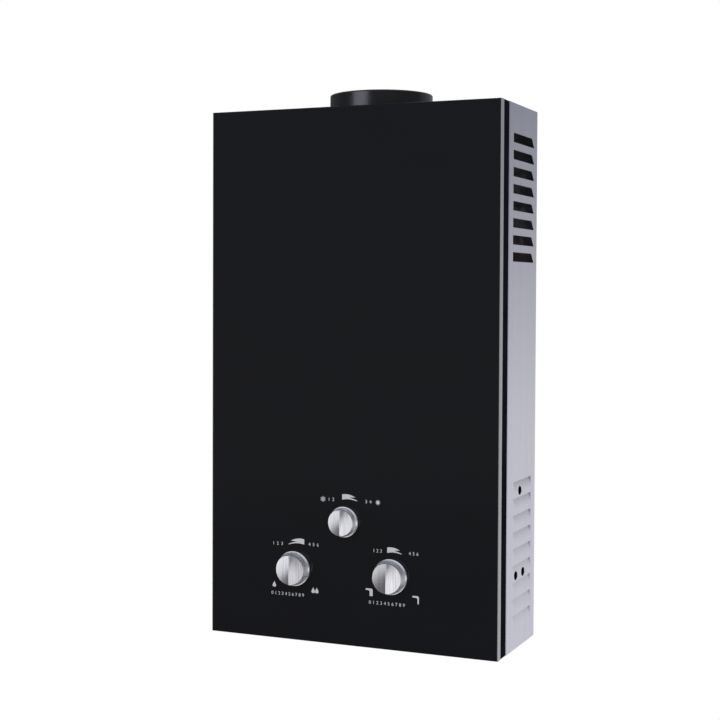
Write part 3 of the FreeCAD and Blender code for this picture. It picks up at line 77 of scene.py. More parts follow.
def startMaterial(name, fixed):
    material = bpy.data.materials.new(name)
    material.use_nodes = True
    tree = material.node_tree
    shader = tree.nodes["Principled BSDF"]
    for key, value in fixed.items():
        shader.inputs[key].default_value = value
    return material, tree, shader


def coordinates(tree, size=(1, 1, 1), centre=(0, 0, 0)):
    # places on the object, where one unit of a pattern is size millimetres long on each axis
    place = addNode(tree, "ShaderNodeTexCoord")
    scale = [1 / (length * mm) for length in size]
    shift = [-c * s for c, s in zip(centre, scale)]
    inputs = {"Vector": place.outputs["Object"], "Location": shift, "Scale": scale}
    return addNode(tree, "ShaderNodeMapping", inputs).outputs["Vector"]


def grain(tree, size, detail=3.0, roughness=0.5, centre=(0, 0, 0)):
    # a cloudy pattern with lumps of about size millimetres
    place = coordinates(tree, size, centre)
    inputs = {"Vector": place, "Scale": 1.0, "Detail": detail, "Roughness": roughness}
    return addNode(tree, "ShaderNodeTexNoise", inputs).outputs["Fac"]


def twoTone(tree, pattern, first, second, span=noiseSpan, most=1):
    # from the first tone towards the second while the pattern crosses the span
    inputs = {"Value": pattern, "From Min": span[0], "From Max": span[1], "To Max": most}
    amount = addNode(tree, "ShaderNodeMapRange", inputs).outputs["Result"]
    first, second = (tone(t) if isinstance(t, str) else t for t in (first, second))
    return addNode(tree, "ShaderNodeMix", {0: amount, 6: first, 7: second}, data_type="RGBA").outputs[2]


def dress(tree, shader, colour, sheen=None, relief=None, span=noiseSpan):
    # sheen: a pattern and the roughness at each end of its span; relief: a pattern and its depth in mm
    tree.links.new(colour, shader.inputs["Base Color"])
    if sheen:
        pattern, low, high = sheen
        inputs = {"Value": pattern, "From Min": span[0], "From Max": span[1], "To Min": low, "To Max": high}
        rough = addNode(tree, "ShaderNodeMapRange", inputs)
        tree.links.new(rough.outputs["Result"], shader.inputs["Roughness"])
    if relief:
        pattern, depth = relief
        bump = addNode(tree, "ShaderNodeBump", {"Height": pattern, "Strength": 1.0, "Distance": depth * mm})
        tree.links.new(bump.outputs["Normal"], shader.inputs["Normal"])


# materials

def brushedStainless():
    # 430 stainless, brushed up and down: long fine streaks and a soft sheen with a cool tint
    material, tree, shader = startMaterial("brushedStainless", {"Metallic": 1.0})
    streaks = grain(tree, (0.5, 0.5, 90), 4.0, 0.6)
    bands = grain(tree, (16, 16, 600), 1.0)
    colour = twoTone(tree, streaks, "#a8a9b6", "#c0c1cc")
    colour = twoTone(tree, bands, colour, "#b0aec1", most=0.55)
    dress(tree, shader, colour, (streaks, 0.27, 0.37), (streaks, 0.006))
    return material


def galvanisedSheet():
    # hot-dip galvanised steel: flat zinc crystals about 7 mm across, each its own grey
    material, tree, shader = startMaterial("galvanisedSheet", {"Metallic": 1.0})
    cells = addNode(tree, "ShaderNodeTexVoronoi", {
        "Vector": coordinates(tree, (7, 7, 7)), "Scale": 1.0, "Randomness": 1.0})
    shade = addNode(tree, "ShaderNodeSeparateColor", {"Color": cells.outputs["Color"]}).outputs["Red"]
    dust = grain(tree, (40, 40, 40), 4.0)
    colour = twoTone(tree, shade, "#9fa3a7", "#b7bbbf", wholeSpan)
    colour = twoTone(tree, dust, colour, "#8d9094", most=0.3)
    dress(tree, shader, colour, (shade, 0.34, 0.5), (shade, 0.01), wholeSpan)
    return material


def blackEnamel():
    # black stove enamel on the flue collar: deep gloss with a slight orange peel
    material, tree, shader = startMaterial("blackEnamel", {"Specular IOR Level": 0.4})
    peel = grain(tree, (2.2, 2.2, 2.2), 2.0)
    dust = grain(tree, (30, 30, 30), 5.0)
    dress(tree, shader, twoTone(tree, dust, "#06060b", "#090911"), (dust, 0.25, 0.31), (peel, 0.01))
    return material


def satinPaint():
    # black polyester powder coat on the front frame: nearly matt, with a fine grain
    material, tree, shader = startMaterial("satinPaint", {"Specular IOR Level": 0.0})
    powder = grain(tree, (0.6, 0.6, 0.6), 2.0)
    dust = grain(tree, (30, 30, 30), 5.0)
    dress(tree, shader, twoTone(tree, dust, "#13131d", "#1a1a24"), (powder, 0.42, 0.55), (powder, 0.012))
    return material


def blackGlass():
    # toughened float glass with black ceramic fired on its back: a hard, nearly perfect gloss
    material, tree, shader = startMaterial("blackGlass", {"IOR": 1.5})
    wipe = grain(tree, (120, 120, 50))
    dress(tree, shader, twoTone(tree, wipe, "#0b0c11", "#0d0e14"), (wipe, 0.02, 0.05))
    return material


def anodisedAluminium():
    # extruded aluminium with a satin clear anodising: faint die lines along its length
    material, tree, shader = startMaterial("anodisedAluminium", {"Metallic": 0.6})
    lines = grain(tree, (0.35, 0.35, 200), 2.0)
    dress(tree, shader, twoTone(tree, lines, "#95979a", "#a5a7aa"), (lines, 0.38, 0.46), (lines, 0.004))
    return material


def foamTape():
    # closed-cell foam: matt, with open cells of about half a millimetre on the cut face, each cell's pit
    # painted darker as shade
    material, tree, shader = startMaterial("foamTape", {"Roughness": 0.9})
    place = coordinates(tree, (0.6, 0.6, 0.6))
    cells = addNode(tree, "ShaderNodeTexVoronoi", {"Vector": place, "Scale": 1.0})
    hollowAndShade = cells.outputs["Distance"]
    # the same pattern sinks each cell's middle as relief and paints it darker as painted shade
    dress(tree, shader, twoTone(tree, hollowAndShade, "#1c1c1d", "#2b2b2c", wholeSpan), relief=(hollowAndShade, 0.15))
    return material


def drawnCopper():
    # drawn copper: bright where handled, browned by heat and air in soft patches
    material, tree, shader = startMaterial("drawnCopper", {"Metallic": 1.0})
    patches = grain(tree, (22, 22, 22), 5.0, 0.6)
    scratches = grain(tree, (0.8, 0.8, 12), 2.0)
    colour = twoTone(tree, patches, "#c98662", "#8f5b42")
    dress(tree, shader, colour, (patches, 0.22, 0.45), (scratches, 0.01))
    return material


def turnedBrass():
    # forged and turned brass: fine tool rings round the upright axis
    material, tree, shader = startMaterial("turnedBrass", {"Metallic": 1.0})
    rings = grain(tree, (60, 60, 0.35), 2.0)
    tarnish = grain(tree, (14, 14, 14), 4.0)
    dress(tree, shader, twoTone(tree, tarnish, "#cfae62", "#9f8045"), (tarnish, 0.2, 0.38), (rings, 0.012))
    return material


def dieCastAluminium():
    # pressure die casting, shot blasted: dull grey with a fine grit
    material, tree, shader = startMaterial("dieCastAluminium", {"Metallic": 1.0})
    grit = grain(tree, (0.7, 0.7, 0.7))
    flow = grain(tree, (30, 30, 30), 4.0)
    dress(tree, shader, twoTone(tree, flow, "#9da0a3", "#b2b4b6"), (grit, 0.42, 0.58), (grit, 0.04))
    return material


heatTint = {"below": 26, "above": 6, "waver": 8.0, "straw": 0.55}


def heatTintedSteel(top):
    # pressed stainless burner steel: straw and blue temper colours towards the flames
    material, tree, shader = startMaterial("heatTintedSteel", {"Metallic": 1.0})
    height = addNode(tree, "ShaderNodeSeparateXYZ", {"Vector": coordinates(tree)}).outputs["Z"]
    ripple = grain(tree, (12, 12, 12))
    shifted = addNode(tree, "ShaderNodeMath", {
        0: ripple, 1: heatTint["waver"], 2: height}, operation="MULTIPLY_ADD").outputs[0]
    low, high = top / mm - heatTint["below"], top / mm + heatTint["above"]
    warmth = addNode(tree, "ShaderNodeMapRange", {"Value": shifted, "From Min": low, "From Max": high})
    ramp = addNode(tree, "ShaderNodeValToRGB", {"Fac": warmth.outputs["Result"]})
    ramp.color_ramp.elements[0].color = tone("#a6a7a8")
    ramp.color_ramp.elements[1].color = tone("#56607a")
    ramp.color_ramp.elements.new(heatTint["straw"]).color = tone("#a5895a")
    dress(tree, shader, ramp.outputs["Color"], (ripple, 0.28, 0.42))
    return material


def zincPlate():
    # clear-passivated zinc plate: bluish grey with a faint yellow bloom
    material, tree, shader = startMaterial("zincPlate", {"Metallic": 1.0})
    bloom = grain(tree, (5, 5, 5))
    dress(tree, shader, twoTone(tree, bloom, "#b6bcc4", "#c3bfae"), (bloom, 0.24, 0.36))
    return material


def glazedCeramic():
    # glazed alumina: warm white, glassy
    material, tree, shader = startMaterial("glazedCeramic", {"Coat Weight": 0.6, "Coat Roughness": 0.08})
    speck = grain(tree, (1.5, 1.5, 1.5), 2.0)
    dress(tree, shader, twoTone(tree, speck, "#e6dfcf", "#efeadd"), (speck, 0.2, 0.3))
    return material


def firedInk():
    # screen-printed ceramic ink fired on the glass: pale grey, slightly grainy at its edges
    material, tree, shader = startMaterial("firedInk", {"IOR": 1.5})
    weave = grain(tree, (0.5, 0.5, 0.5), 2.0)
    dress(tree, shader, twoTone(tree, weave, "#b9bcc0", "#d2d4d6"), (weave, 0.4, 0.55))
    return material


def siliconeRubber():
    # moulded silicone: brick red, matt, with a soft skin
    material, tree, shader = startMaterial("siliconeRubber", {"IOR": 1.41})
    bloom = grain(tree, (4, 4, 4), 4.0)
    dress(tree, shader, twoTone(tree, bloom, "#6f2a20", "#7d372b"), (bloom, 0.5, 0.65), (bloom, 0.02))
    return material


def brushedChrome(centre):
    # chromed ABS knob: a face brushed along its crease that smears light sideways, duller grooved walls
    material, tree, shader = startMaterial("brushedChrome", {"Metallic": 1.0, "Anisotropic": 0.75})
    streaks = grain(tree, (0.7, 4, 26), 3.0, 0.6, centre)
    normal = addNode(tree, "ShaderNodeNewGeometry").outputs["True Normal"]
    along = addNode(tree, "ShaderNodeSeparateXYZ", {"Vector": normal}).outputs["Y"]
    facing = addNode(tree, "ShaderNodeMath", {0: along}, operation="ABSOLUTE").outputs[0]
    tangent = addNode(tree, "ShaderNodeTangent", direction_type="RADIAL", axis="Z")
    tree.links.new(tangent.outputs[0], shader.inputs["Tangent"])
    colour = twoTone(tree, streaks, "#cdcdd6", "#f6f6fb")
    dress(tree, shader, colour, (facing, 0.5, 0.19), (streaks, 0.008), (0.3, 0.8))
    return material


def mouldedAbs():
    # black ABS with a spark-eroded texture from its mould
    material, tree, shader = startMaterial("mouldedAbs", {"IOR": 1.54})
    spark = grain(tree, (0.45, 0.45, 0.45))
    dress(tree, shader, twoTone(tree, spark, "#141416", "#1c1c1f"), (spark, 0.4, 0.55), (spark, 0.03))
    return material


cellBands = {"cap": 3.5, "stripe": 14, "foot": 1}


def cellWrap(foot, top):
    # a D cell in a plain shrink wrap, bare nickel-plated steel at both crimped ends
    material, tree, shader = startMaterial("cellWrap", {"Coat Weight": 0.4, "Coat Roughness": 0.15})
    height = addNode(tree, "ShaderNodeSeparateXYZ", {"Vector": coordinates(tree)}).outputs["Z"]
    cap, stripe = (addNode(tree, "ShaderNodeMath", {0: height, 1: top / mm - cellBands[key]},
                           operation="GREATER_THAN").outputs[0] for key in ("cap", "stripe"))
    base = addNode(tree, "ShaderNodeMath", {
        0: height, 1: foot / mm + cellBands["foot"]}, operation="LESS_THAN").outputs[0]
    bare = addNode(tree, "ShaderNodeMath", {0: cap, 1: base}, operation="MAXIMUM").outputs[0]
    tree.links.new(bare, shader.inputs["Metallic"])
    colour = twoTone(tree, stripe, "#39424c", "#c9ccce", wholeSpan)
    colour = twoTone(tree, bare, colour, "#b9bbbd", wholeSpan)
    dress(tree, shader, colour, (grain(tree, (5, 5, 9)), 0.3, 0.45))
    return material


# helpers for meshes

# how close vertices are when they become one, in millimetres
weld = {"solid": 0.002, "sheet": 0.01, "copy": 0.001}


def objectFrom(name, mesh):
    item = bpy.data.objects.new(name, mesh)
    scene.collection.objects.link(item)
    return item


def release(form, name):
    # a bmesh becomes an object
    mesh = bpy.data.meshes.new(name)
    form.to_mesh(mesh)
    form.free()
    return objectFrom(name, mesh)


def closeMesh(form, name):
    # welds a bmesh, turns its faces outwards and makes it an object
    bmesh.ops.remove_doubles(form, verts=form.verts, dist=weld["solid"] * mm)
    bmesh.ops.recalc_face_normals(form, faces=form.faces)
    return release(form, name)


def bake(item):
    # the evaluated object becomes its plain mesh, and its modifiers go
    graph = bpy.context.evaluated_depsgraph_get()
    graph.update()
    mesh = bpy.data.meshes.new_from_object(item.evaluated_get(graph), depsgraph=graph)
    item.modifiers.clear()
    item.data = mesh
    return item


def gather(items):
    # several objects end up in one bmesh, without welding them
    form = bmesh.new()
    for item in items:
        form.from_mesh(item.data)
        bpy.data.objects.remove(item)
    return form


def bevelled(item, width, segments=2, angle=35):
    edge = item.modifiers.new("edge", "BEVEL")
    edge.width = width * mm
    edge.segments = segments
    edge.limit_method = "ANGLE"
    edge.angle_limit = math.radians(angle)
    return bake(item)


def carved(item, tools, operation="DIFFERENCE"):
    for tool in tools:
        carve = item.modifiers.new("carve", "BOOLEAN")
        carve.object = tool
        carve.operation = operation
        carve.solver = "EXACT"
    bake(item)
    for tool in tools:
        bpy.data.objects.remove(tool)
    return item


def smooth(item, angle=32):
    # rounded edges shade softly while flat faces stay flat
    item.data.shade_smooth()
    item.data.set_sharp_from_angle(angle=math.radians(angle))
    flat = item.modifiers.new("flat", "WEIGHTED_NORMAL")
    flat.keep_sharp = True
    return bake(item)


def roundedOutline(corners, radii, steps=6):
    # each corner becomes an arc that touches both of its sides
    points = []
    total = len(corners)
    for index, radius in enumerate(radii):
        corner = Vector(corners[index])
        back = (Vector(corners[index - 1]) - corner).normalized()
        ahead = (Vector(corners[(index + 1) % total]) - corner).normalized()
        if radius <= 0:
            points.append(corner)
            continue
        half = back.angle(ahead) / 2
        centre = corner + (back + ahead).normalized() * (radius / math.sin(half))
        start = corner + back * (radius / math.tan(half)) - centre
        turn = start.angle_signed(corner + ahead * (radius / math.tan(half)) - centre)
        for step in range(steps + 1):
            part = turn * step / steps
            wheel = Matrix.Rotation(-part, 2)
            points.append(centre + wheel @ start)
    return points


def rectangle(across, up):
    return [(across[0], up[0]), (across[1], up[0]), (across[1], up[1]), (across[0], up[1])]


def spotAlong(axis, u, v, along):
    # a point of a flat drawing at a place along an axis: x takes (y, z) drawings, y (x, z) and z (x, y)
    return {"x": (along, u, v), "y": (u, along, v), "z": (u, v, along)}[axis]


def prism(name, outline, low, high, axis="z"):
    # an outline drawn out along an axis
    form = bmesh.new()
    ends = []
    for level in (low, high):
        ends.append([form.verts.new([c * mm for c in spotAlong(axis, u, v, level)]) for u, v in outline])
    total = len(outline)
    for end in ends:
        form.faces.new(end)
    for index in range(total):
        after = (index + 1) % total
        form.faces.new((ends[0][index], ends[0][after], ends[1][after], ends[1][index]))
    return closeMesh(form, name)


def lathe(name, profile, centre, axis="z", segments=64):
    # profile holds pairs of radius and place along the axis, from pole to pole or as a ring
    form = bmesh.new()
    ring = []
    for radius, along in profile:
        spokes = 1 if radius == 0 else segments
        row = []
        for step in range(spokes):
            angle = 2 * math.pi * step / segments
            spot = spotAlong(axis, radius * math.cos(angle), radius * math.sin(angle), along)
            row.append(form.verts.new([(c + s) * mm for c, s in zip(centre, spot)]))
        ring.append(row)
    # a profile that starts off the axis is a ring and closes on itself
    others = ring[1:] + ring[:1] if profile[0][0] > 0 else ring[1:]
    for first, second in zip(ring, others):
        for step in range(segments):
            after = (step + 1) % segments
            corners = [first[step % len(first)], first[after % len(first)],
                       second[after % len(second)], second[step % len(second)]]
            corners = list(dict.fromkeys(corners))
            if len(corners) > 2:
                form.faces.new(corners)
    return closeMesh(form, name)


def rod(name, radius, ends, centre, axis="z", segments=64):
    low, high = ends
    return lathe(name, [(0, low), (radius, low), (radius, high), (0, high)], centre, axis, segments)


def settle(item, body, slotName, material, *replaced):
    # gives a finished piece its finish and its moving body, and hides the CAD nodes it stands for; its slot
    # name is not used
    item.data.materials.clear()
    item.data.materials.append(material)
    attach(item, body)
    if replaced:
        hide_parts(*replaced)
    return item


def reach(name):
    # a CAD node's span along each axis, in millimetres
    low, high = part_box(name)
    return [(a / mm, b / mm) for a, b in zip(low, high)]


# Geometry Nodes that repeat a piece

def startTree(name, inputs):
    tree = bpy.data.node_groups.new(name, "GeometryNodeTree")
    keys = {}
    for label, kind in inputs:
        keys[label] = tree.interface.new_socket(name=label, in_out="INPUT", socket_type=kind).identifier
    tree.interface.new_socket(name="Geometry", in_out="OUTPUT", socket_type="NodeSocketGeometry")
    return tree, keys, addNode(tree, "NodeGroupInput").outputs


def endTree(tree, geometry, material):
    real = addNode(tree, "GeometryNodeRealizeInstances", {"Geometry": geometry}).outputs[0]
    painted = addNode(tree, "GeometryNodeSetMaterial", {"Geometry": real, "Material": material}).outputs[0]
    addNode(tree, "NodeGroupOutput", {"Geometry": painted})


def grow(name, tree, keys, values, points=()):
    # runs a tree on an object that holds the given points, and leaves a plain mesh
    mesh = bpy.data.meshes.new(name)
    mesh.from_pydata([[c * mm for c in point] for point in points], [], [])
    item = objectFrom(name, mesh)
    modifier = item.modifiers.new("grow", "NODES")
    modifier.node_group = tree
    for label, value in values.items():
        modifier[keys[label]] = value
    return bake(item)


def rowTree():
    # copies of one piece at an even pitch up the Z axis or along any offset
    tree, keys, given = startTree("evenRow", [
        ("Piece", "NodeSocketObject"), ("Count", "NodeSocketInt"), ("Start", "NodeSocketVector"),
        ("Step", "NodeSocketVector"), ("Finish", "NodeSocketMaterial")])
    piece = addNode(tree, "GeometryNodeObjectInfo", {"Object": given["Piece"]}).outputs["Geometry"]
    line = addNode(tree, "GeometryNodeMeshLine", {
        "Count": given["Count"], "Start Location": given["Start"], "Offset": given["Step"]}, mode="OFFSET")
    row = addNode(tree, "GeometryNodeInstanceOnPoints", {"Points": line.outputs[0], "Instance": piece})
    endTree(tree, row.outputs[0], given["Finish"])
    return tree, keys


def scatterTree():
    # one piece at each point of the mesh, turned as the input says
    tree, keys, given = startTree("atPoints", [
        ("Spots", "NodeSocketGeometry"), ("Piece", "NodeSocketObject"), ("Turn", "NodeSocketRotation"),
        ("Finish", "NodeSocketMaterial")])
    piece = addNode(tree, "GeometryNodeObjectInfo", {"Object": given["Piece"]}).outputs["Geometry"]
    copies = addNode(tree, "GeometryNodeInstanceOnPoints", {
        "Points": given["Spots"], "Instance": piece, "Rotation": given["Turn"]})
    endTree(tree, copies.outputs[0], given["Finish"])
    return tree, keys


def threadTree():
    # a helical ridge of four-sided section
    tree, keys, given = startTree("helicalThread", [
        ("Radius", "NodeSocketFloat"), ("Height", "NodeSocketFloat"), ("Turns", "NodeSocketFloat"),
        ("Ridge", "NodeSocketFloat"), ("Finish", "NodeSocketMaterial")])
    helix = addNode(tree, "GeometryNodeCurveSpiral", {
        "Resolution": 40, "Rotations": given["Turns"], "Start Radius": given["Radius"],
        "End Radius": given["Radius"], "Height": given["Height"]})
    section = addNode(tree, "GeometryNodeCurvePrimitiveCircle", {"Resolution": 4, "Radius": given["Ridge"]})
    ridge = addNode(tree, "GeometryNodeCurveToMesh", {
        "Curve": helix.outputs[0], "Profile Curve": section.outputs[0], "Fill Caps": True})
    endTree(tree, ridge.outputs[0], given["Finish"])
    return tree, keys


# side panels: slots above, pressed louvres below, folded edges

sidePanel = {
    "metal": 0.8,
    "bend": 1.2,
    "bendSteps": 4,
    "flange": 12,
    "pitch": 18.2,
    "slotCount": 8,
    "slotHeight": 10,
    "slotFront": 91,
    "slotRear": 12,
    "slotRelief": 9,
    "slotDrop": 31.7,
    "slotCorners": (0.5, 0.4, 5, 1),
    "louvreCount": 9,
    "louvreHeight": 13,
    "louvreFront": 85,
    "louvreRear": 15,
    "louvreRise": 24.3,
    "louvrePress": 2.0,
    "louvreCurl": 1.7,
    "louvreSteps": 6,
    "cheekFront": 7,
    "cheekRear": 2.2,
    "holeRadius": 4.7,
    "holeFlare": 0.55,
    "holeStretch": 1.35,
    "holes": ((71.5, 80), (44.5, 80), (58, 171.5)),
    "edge": 0.18,
    "flat": math.radians(0.5),
}


def openSheet(form, side, border, holes, x):
    # a flat sheet at one x, with holes: the border and the holes are lists of (y, z)
    points = []
    edges = []
    for loop in (border, *holes):
        first = len(points)
        points += [Vector(p) for p in loop]
        edges += [(first + i, first + (i + 1) % len(loop)) for i in range(len(loop))]
    spots, _, faces, *_ = delaunay_2d_cdt(points, edges, [], 0, 1e-6)
    made = [form.verts.new((x * mm, p[0] * mm, p[1] * mm)) for p in spots]
    for face in faces:
        centre = sum((spots[i] for i in face), Vector((0, 0))) / len(face)
        if not any(insideOutline(centre, hole) for hole in holes):
            form.faces.new([made[i] for i in (face if side > 0 else reversed(face))])


def insideOutline(point, outline):
    inside = False
    for index in range(len(outline)):
        a, b = outline[index - 1], outline[index]
        if (a[1] > point[1]) != (b[1] > point[1]):
            if point[0] < (b[0] - a[0]) * (point[1] - a[1]) / (b[1] - a[1]) + a[0]:
                inside = not inside
    return inside


def foldedTile(form, side, frontLine, low, high, outer, holes, flange=True):
    # one storey of the panel: the flat web and, at its front, the bend and the flange
    bend = sidePanel["bend"]
    webFront = frontLine + bend
    openSheet(form, side, rectangle((webFront, 0), (low, high)), holes, outer)
    section = []
    for step in range(sidePanel["bendSteps"] + 1):
        angle = math.pi / 2 * step / sidePanel["bendSteps"]
        section.append((outer - side * bend * (1 - math.cos(angle)), webFront - bend * math.sin(angle)))
    if flange:
        section.append((outer - side * sidePanel["flange"], frontLine))
    foot, head = [[form.verts.new((x * mm, y * mm, z * mm)) for x, y in section] for z in (low, high)]
    for index in range(len(section) - 1):
        quad = [foot[index], head[index], head[index + 1], foot[index + 1]]
        form.faces.new(quad if side > 0 else list(reversed(quad)))


def pressLouvre(form, side, outer, low):
    # the pressed blade: flush at its foot and ends, deepest at its free top edge
    look = sidePanel
    steps = look["louvreSteps"]
    front, rear = -look["louvreFront"], -look["louvreRear"]
    shares = [0, 0.25, 0.5, 0.75, 1]
    spots = [front + look["cheekFront"] * s for s in shares]
    spots += [front + (rear - front) * s for s in (0.25, 0.4, 0.55, 0.7, 0.85)]
    spots += [rear - look["cheekRear"] * s for s in reversed(shares)]
    levels = [low + look["louvreHeight"] * step / steps for step in range(steps + 1)]
    rows = []
    for step, level in enumerate(levels):
        lean = (step / steps) ** look["louvreCurl"]
        row = []
        for y in spots:
            ends = min(1, (y - front) / look["cheekFront"], (rear - y) / look["cheekRear"])
            swell = ends * ends * (3 - 2 * ends)
            x = outer - side * look["louvrePress"] * lean * swell
            row.append(form.verts.new((x * mm, y * mm, level * mm)))
        rows.append(row)
    for lower, upper in zip(rows, rows[1:]):
        for index in range(len(spots) - 1):
            quad = [lower[index], lower[index + 1], upper[index + 1], upper[index]]
            form.faces.new(quad if side > 0 else list(reversed(quad)))
    # the window's outline, with the blade's own points along its foot and ends
    foot = [(y, low) for y in spots]
    rearSide = [(rear, level) for level in levels[1:]]
    frontSide = [(front, level) for level in reversed(levels[1:])]
    return foot + rearSide + frontSide


def slotOutline(foot):
    # an open slot whose rear end leans
    look = sidePanel
    front, rear = -look["slotFront"], -look["slotRear"]
    head = foot + look["slotHeight"]
    corners = [(front, foot), (rear, foot), (rear - look["slotRelief"], head), (front, head)]
    return roundedOutline(corners, look["slotCorners"])


def storeys(tile, count, start, row, steel):
    # one tile of the panel, repeated upwards
    tree, keys = row
    bmesh.ops.remove_doubles(tile, verts=tile.verts, dist=weld["sheet"] * mm)
    pattern = release(tile, "storey")
    item = grow("row", tree, keys, {
        "Piece": pattern, "Count": count, "Start": (0, 0, start * mm),
        "Step": (0, 0, sidePanel["pitch"] * mm), "Finish": steel})
    bpy.data.objects.remove(pattern)
    return item


def buildSidePanels(row, steel):
    look = sidePanel
    pitch, metal = look["pitch"], look["metal"]
    for name, side in (("left_side_panel", -1), ("right_side_panel", 1)):
        spanX, spanY, spanZ = reach(name)
        outer = spanX[1] if side > 0 else spanX[0]
        frontLine, top = spanY[0], spanZ[1]

        slotFoot = (pitch - look["slotHeight"]) / 2
        slotTile = bmesh.new()
        foldedTile(slotTile, side, frontLine, 0, pitch, outer, [slotOutline(slotFoot)])
        slotEnd = top - look["slotDrop"] - look["slotHeight"] + pitch - slotFoot
        slotStart = slotEnd - look["slotCount"] * pitch

        louvreFoot = (pitch - look["louvreHeight"]) / 2
        louvreTile = bmesh.new()
        window = pressLouvre(louvreTile, side, outer, louvreFoot)
        foldedTile(louvreTile, side, frontLine, 0, pitch, outer, [window])
        louvreStart = look["louvreRise"] - louvreFoot
        louvreEnd = louvreStart + look["louvreCount"] * pitch

        form = gather([storeys(slotTile, look["slotCount"], slotStart, row, steel),
                       storeys(louvreTile, look["louvreCount"], louvreStart, row, steel)])
        plain = [(0, metal, False), (metal, louvreStart, True), (louvreEnd, slotStart, True),
                 (slotEnd, top - metal, True), (top - metal, top, False)]
        for low, high, flange in plain:
            foldedTile(form, side, frontLine, low, high, outer, [], flange)
        bmesh.ops.remove_doubles(form, verts=form.verts, dist=weld["sheet"] * mm)
        bmesh.ops.dissolve_limit(form, angle_limit=look["flat"], verts=form.verts, edges=form.edges)
        panel = release(form, name + "_sheet")
        wall = panel.modifiers.new("wall", "SOLIDIFY")
        wall.thickness = metal * mm
        wall.offset = -1
        bake(panel)
        bevelled(panel, look["edge"], 2)
        if side > 0:
            carved(panel, [holeTool(outer, y, z) for y, z in look["holes"]])
        inner = outer - side * metal
        flangeX = sorted((inner - side * look["flange"], inner + side * metal / 4))
        rearLine = reach("back_plate")[1][0]
        corners = rectangle(flangeX, (rearLine - metal, rearLine))
        flange = prism("rearFlange", corners, metal, top - metal)
        piece = release(gather([panel, flange]), name.replace("_side_panel", "SidePanel"))
        smooth(piece)
        settle(piece, "casing", "brushed_stainless_steel", steel, name)
    print("side panels built")


def holeTool(outer, y, z):
    # a round hole whose outer edge is flared, as a deburring tool leaves it
    radius, flare = sidePanel["holeRadius"], sidePanel["holeFlare"]
    deep = sidePanel["metal"] * 4
    wide = radius + flare * 1.5
    profile = [(0, -deep), (radius, -deep), (radius, -flare / 2), (wide, flare), (0, flare)]
    tool = lathe("holeTool", profile, (0, 0, 0), "x", 32)
    stretch = Matrix.Diagonal((1, sidePanel["holeStretch"], 1, 1))
    tool.data.transform(Matrix.Translation((outer * mm, -y * mm, z * mm)) @ stretch)
    return tool


# edge trims: the rounded aluminium sections along the glass

edgeTrim = {
    "metal": 0.8,
    "lip": 8,
    "glass": 4,
    "rearStep": 2.0,
    "endEdge": 0.2,
    # from the front inner corner round the outside and back along the lip
    "radii": (0.1, 0.6, 0.3, 0.1, 0, 0.2, 0.2, 0),
}


def buildEdgeTrims(aluminium):
    for name, side in (("edge_trim_left", -1), ("edge_trim_right", 1)):
        spanX, spanY, spanZ = reach(name)
        outer = spanX[1] if side > 0 else spanX[0]
        inner = outer - side * edgeTrim["metal"]
        lip = inner - side * edgeTrim["lip"]
        front, rear = spanY[0], spanY[1] - edgeTrim["rearStep"]
        glassBack = front + edgeTrim["glass"]
        lipBack = glassBack + edgeTrim["metal"]
        corners = [(inner, front), (outer, front), (outer, rear), (inner, rear), (inner, lipBack),
                   (lip, lipBack), (lip, glassBack), (inner, glassBack)]
        outline = roundedOutline(corners, edgeTrim["radii"], 5)
        item = prism("trim", outline, spanZ[0], spanZ[1])
        bevelled(item, edgeTrim["endEdge"], 1, 60)
        item.name = "edgeTrimLeft" if side < 0 else "edgeTrimRight"
        smooth(item)
        settle(item, "casing", "anodised_aluminium", aluminium, name)
    print("edge trims built")


# glass: a pane with ground edges and a hole for each spindle

controls = ("season", "fire", "water")
pane = {"ground": 0.5, "hole": 11}


def buildPane(glass):
    spanX, spanY, spanZ = reach("glass_panel")
    item = prism("glassPane", rectangle(spanX, spanZ), spanY[0], spanY[1], "y")
    through = (spanY[0] - 1, spanY[1] + 1)
    tools = []
    for place in controls:
        spindleX, _, spindleZ = reach("spindle_" + place)
        centre = (sum(spindleX) / 2, 0, sum(spindleZ) / 2)
        tools.append(rod("spindleHole", pane["hole"], through, centre, "y", 48))
    carved(item, tools)
    bevelled(item, pane["ground"], 2, 60)
    smooth(item)
    settle(item, "casing", "black_glass", glass, "glass_panel")
    print("pane set")


# knobs: split faces that lean opposite ways, with grooved sides

knob = {
    "radius": 19.3,
    "faceRadius": 16.2,
    "height": 16.1,
    "gap": 0.5,
    "skirt": 3.2,
    "edge": 0.8,
    "flare": 1.5,
    "roof": 4.0,
    "scoop": 3.4,
    "grooves": (5.6, 8.2, 10.8),
    "grooveWidth": 1.0,
    "grooveDepth": 0.55,
    "grooveSlope": 0.15,
    "softEdge": 0.3,
    # how the scoop deepens towards its end and fades away from the crease
    "scoopCurve": 2.2,
    "scoopFade": 1.6,
    "scoopSteps": 14,
}


def knobProfile(share):
    # radius and height above the glass: the skirt, the grooved wall and the rim of the face
    k = knob
    edge, depth, slope = k["edge"], k["grooveDepth"], k["grooveSlope"]
    skirtRadius, faceRadius = k["radius"] * share, k["faceRadius"] * share
    wallFoot, wallTop = k["skirt"] + edge, k["height"] * share - edge

    def wallRadius(rise):
        return faceRadius + k["flare"] * (wallTop - rise) / (wallTop - wallFoot)

    profile = [
        (0, k["gap"]), (skirtRadius - edge, k["gap"]), (skirtRadius, k["gap"] + edge),
        (skirtRadius, k["skirt"]), (skirtRadius - edge, wallFoot), (wallRadius(wallFoot), wallFoot),
    ]
    for groove in k["grooves"]:
        low = groove * share
        high = low + k["grooveWidth"]
        profile += [(wallRadius(low), low), (wallRadius(low) - depth, low + slope),
                    (wallRadius(high) - depth, high - slope), (wallRadius(high), high)]
    profile += [(faceRadius, wallTop), (faceRadius - edge, wallTop + edge), (0, wallTop + edge)]
    return profile


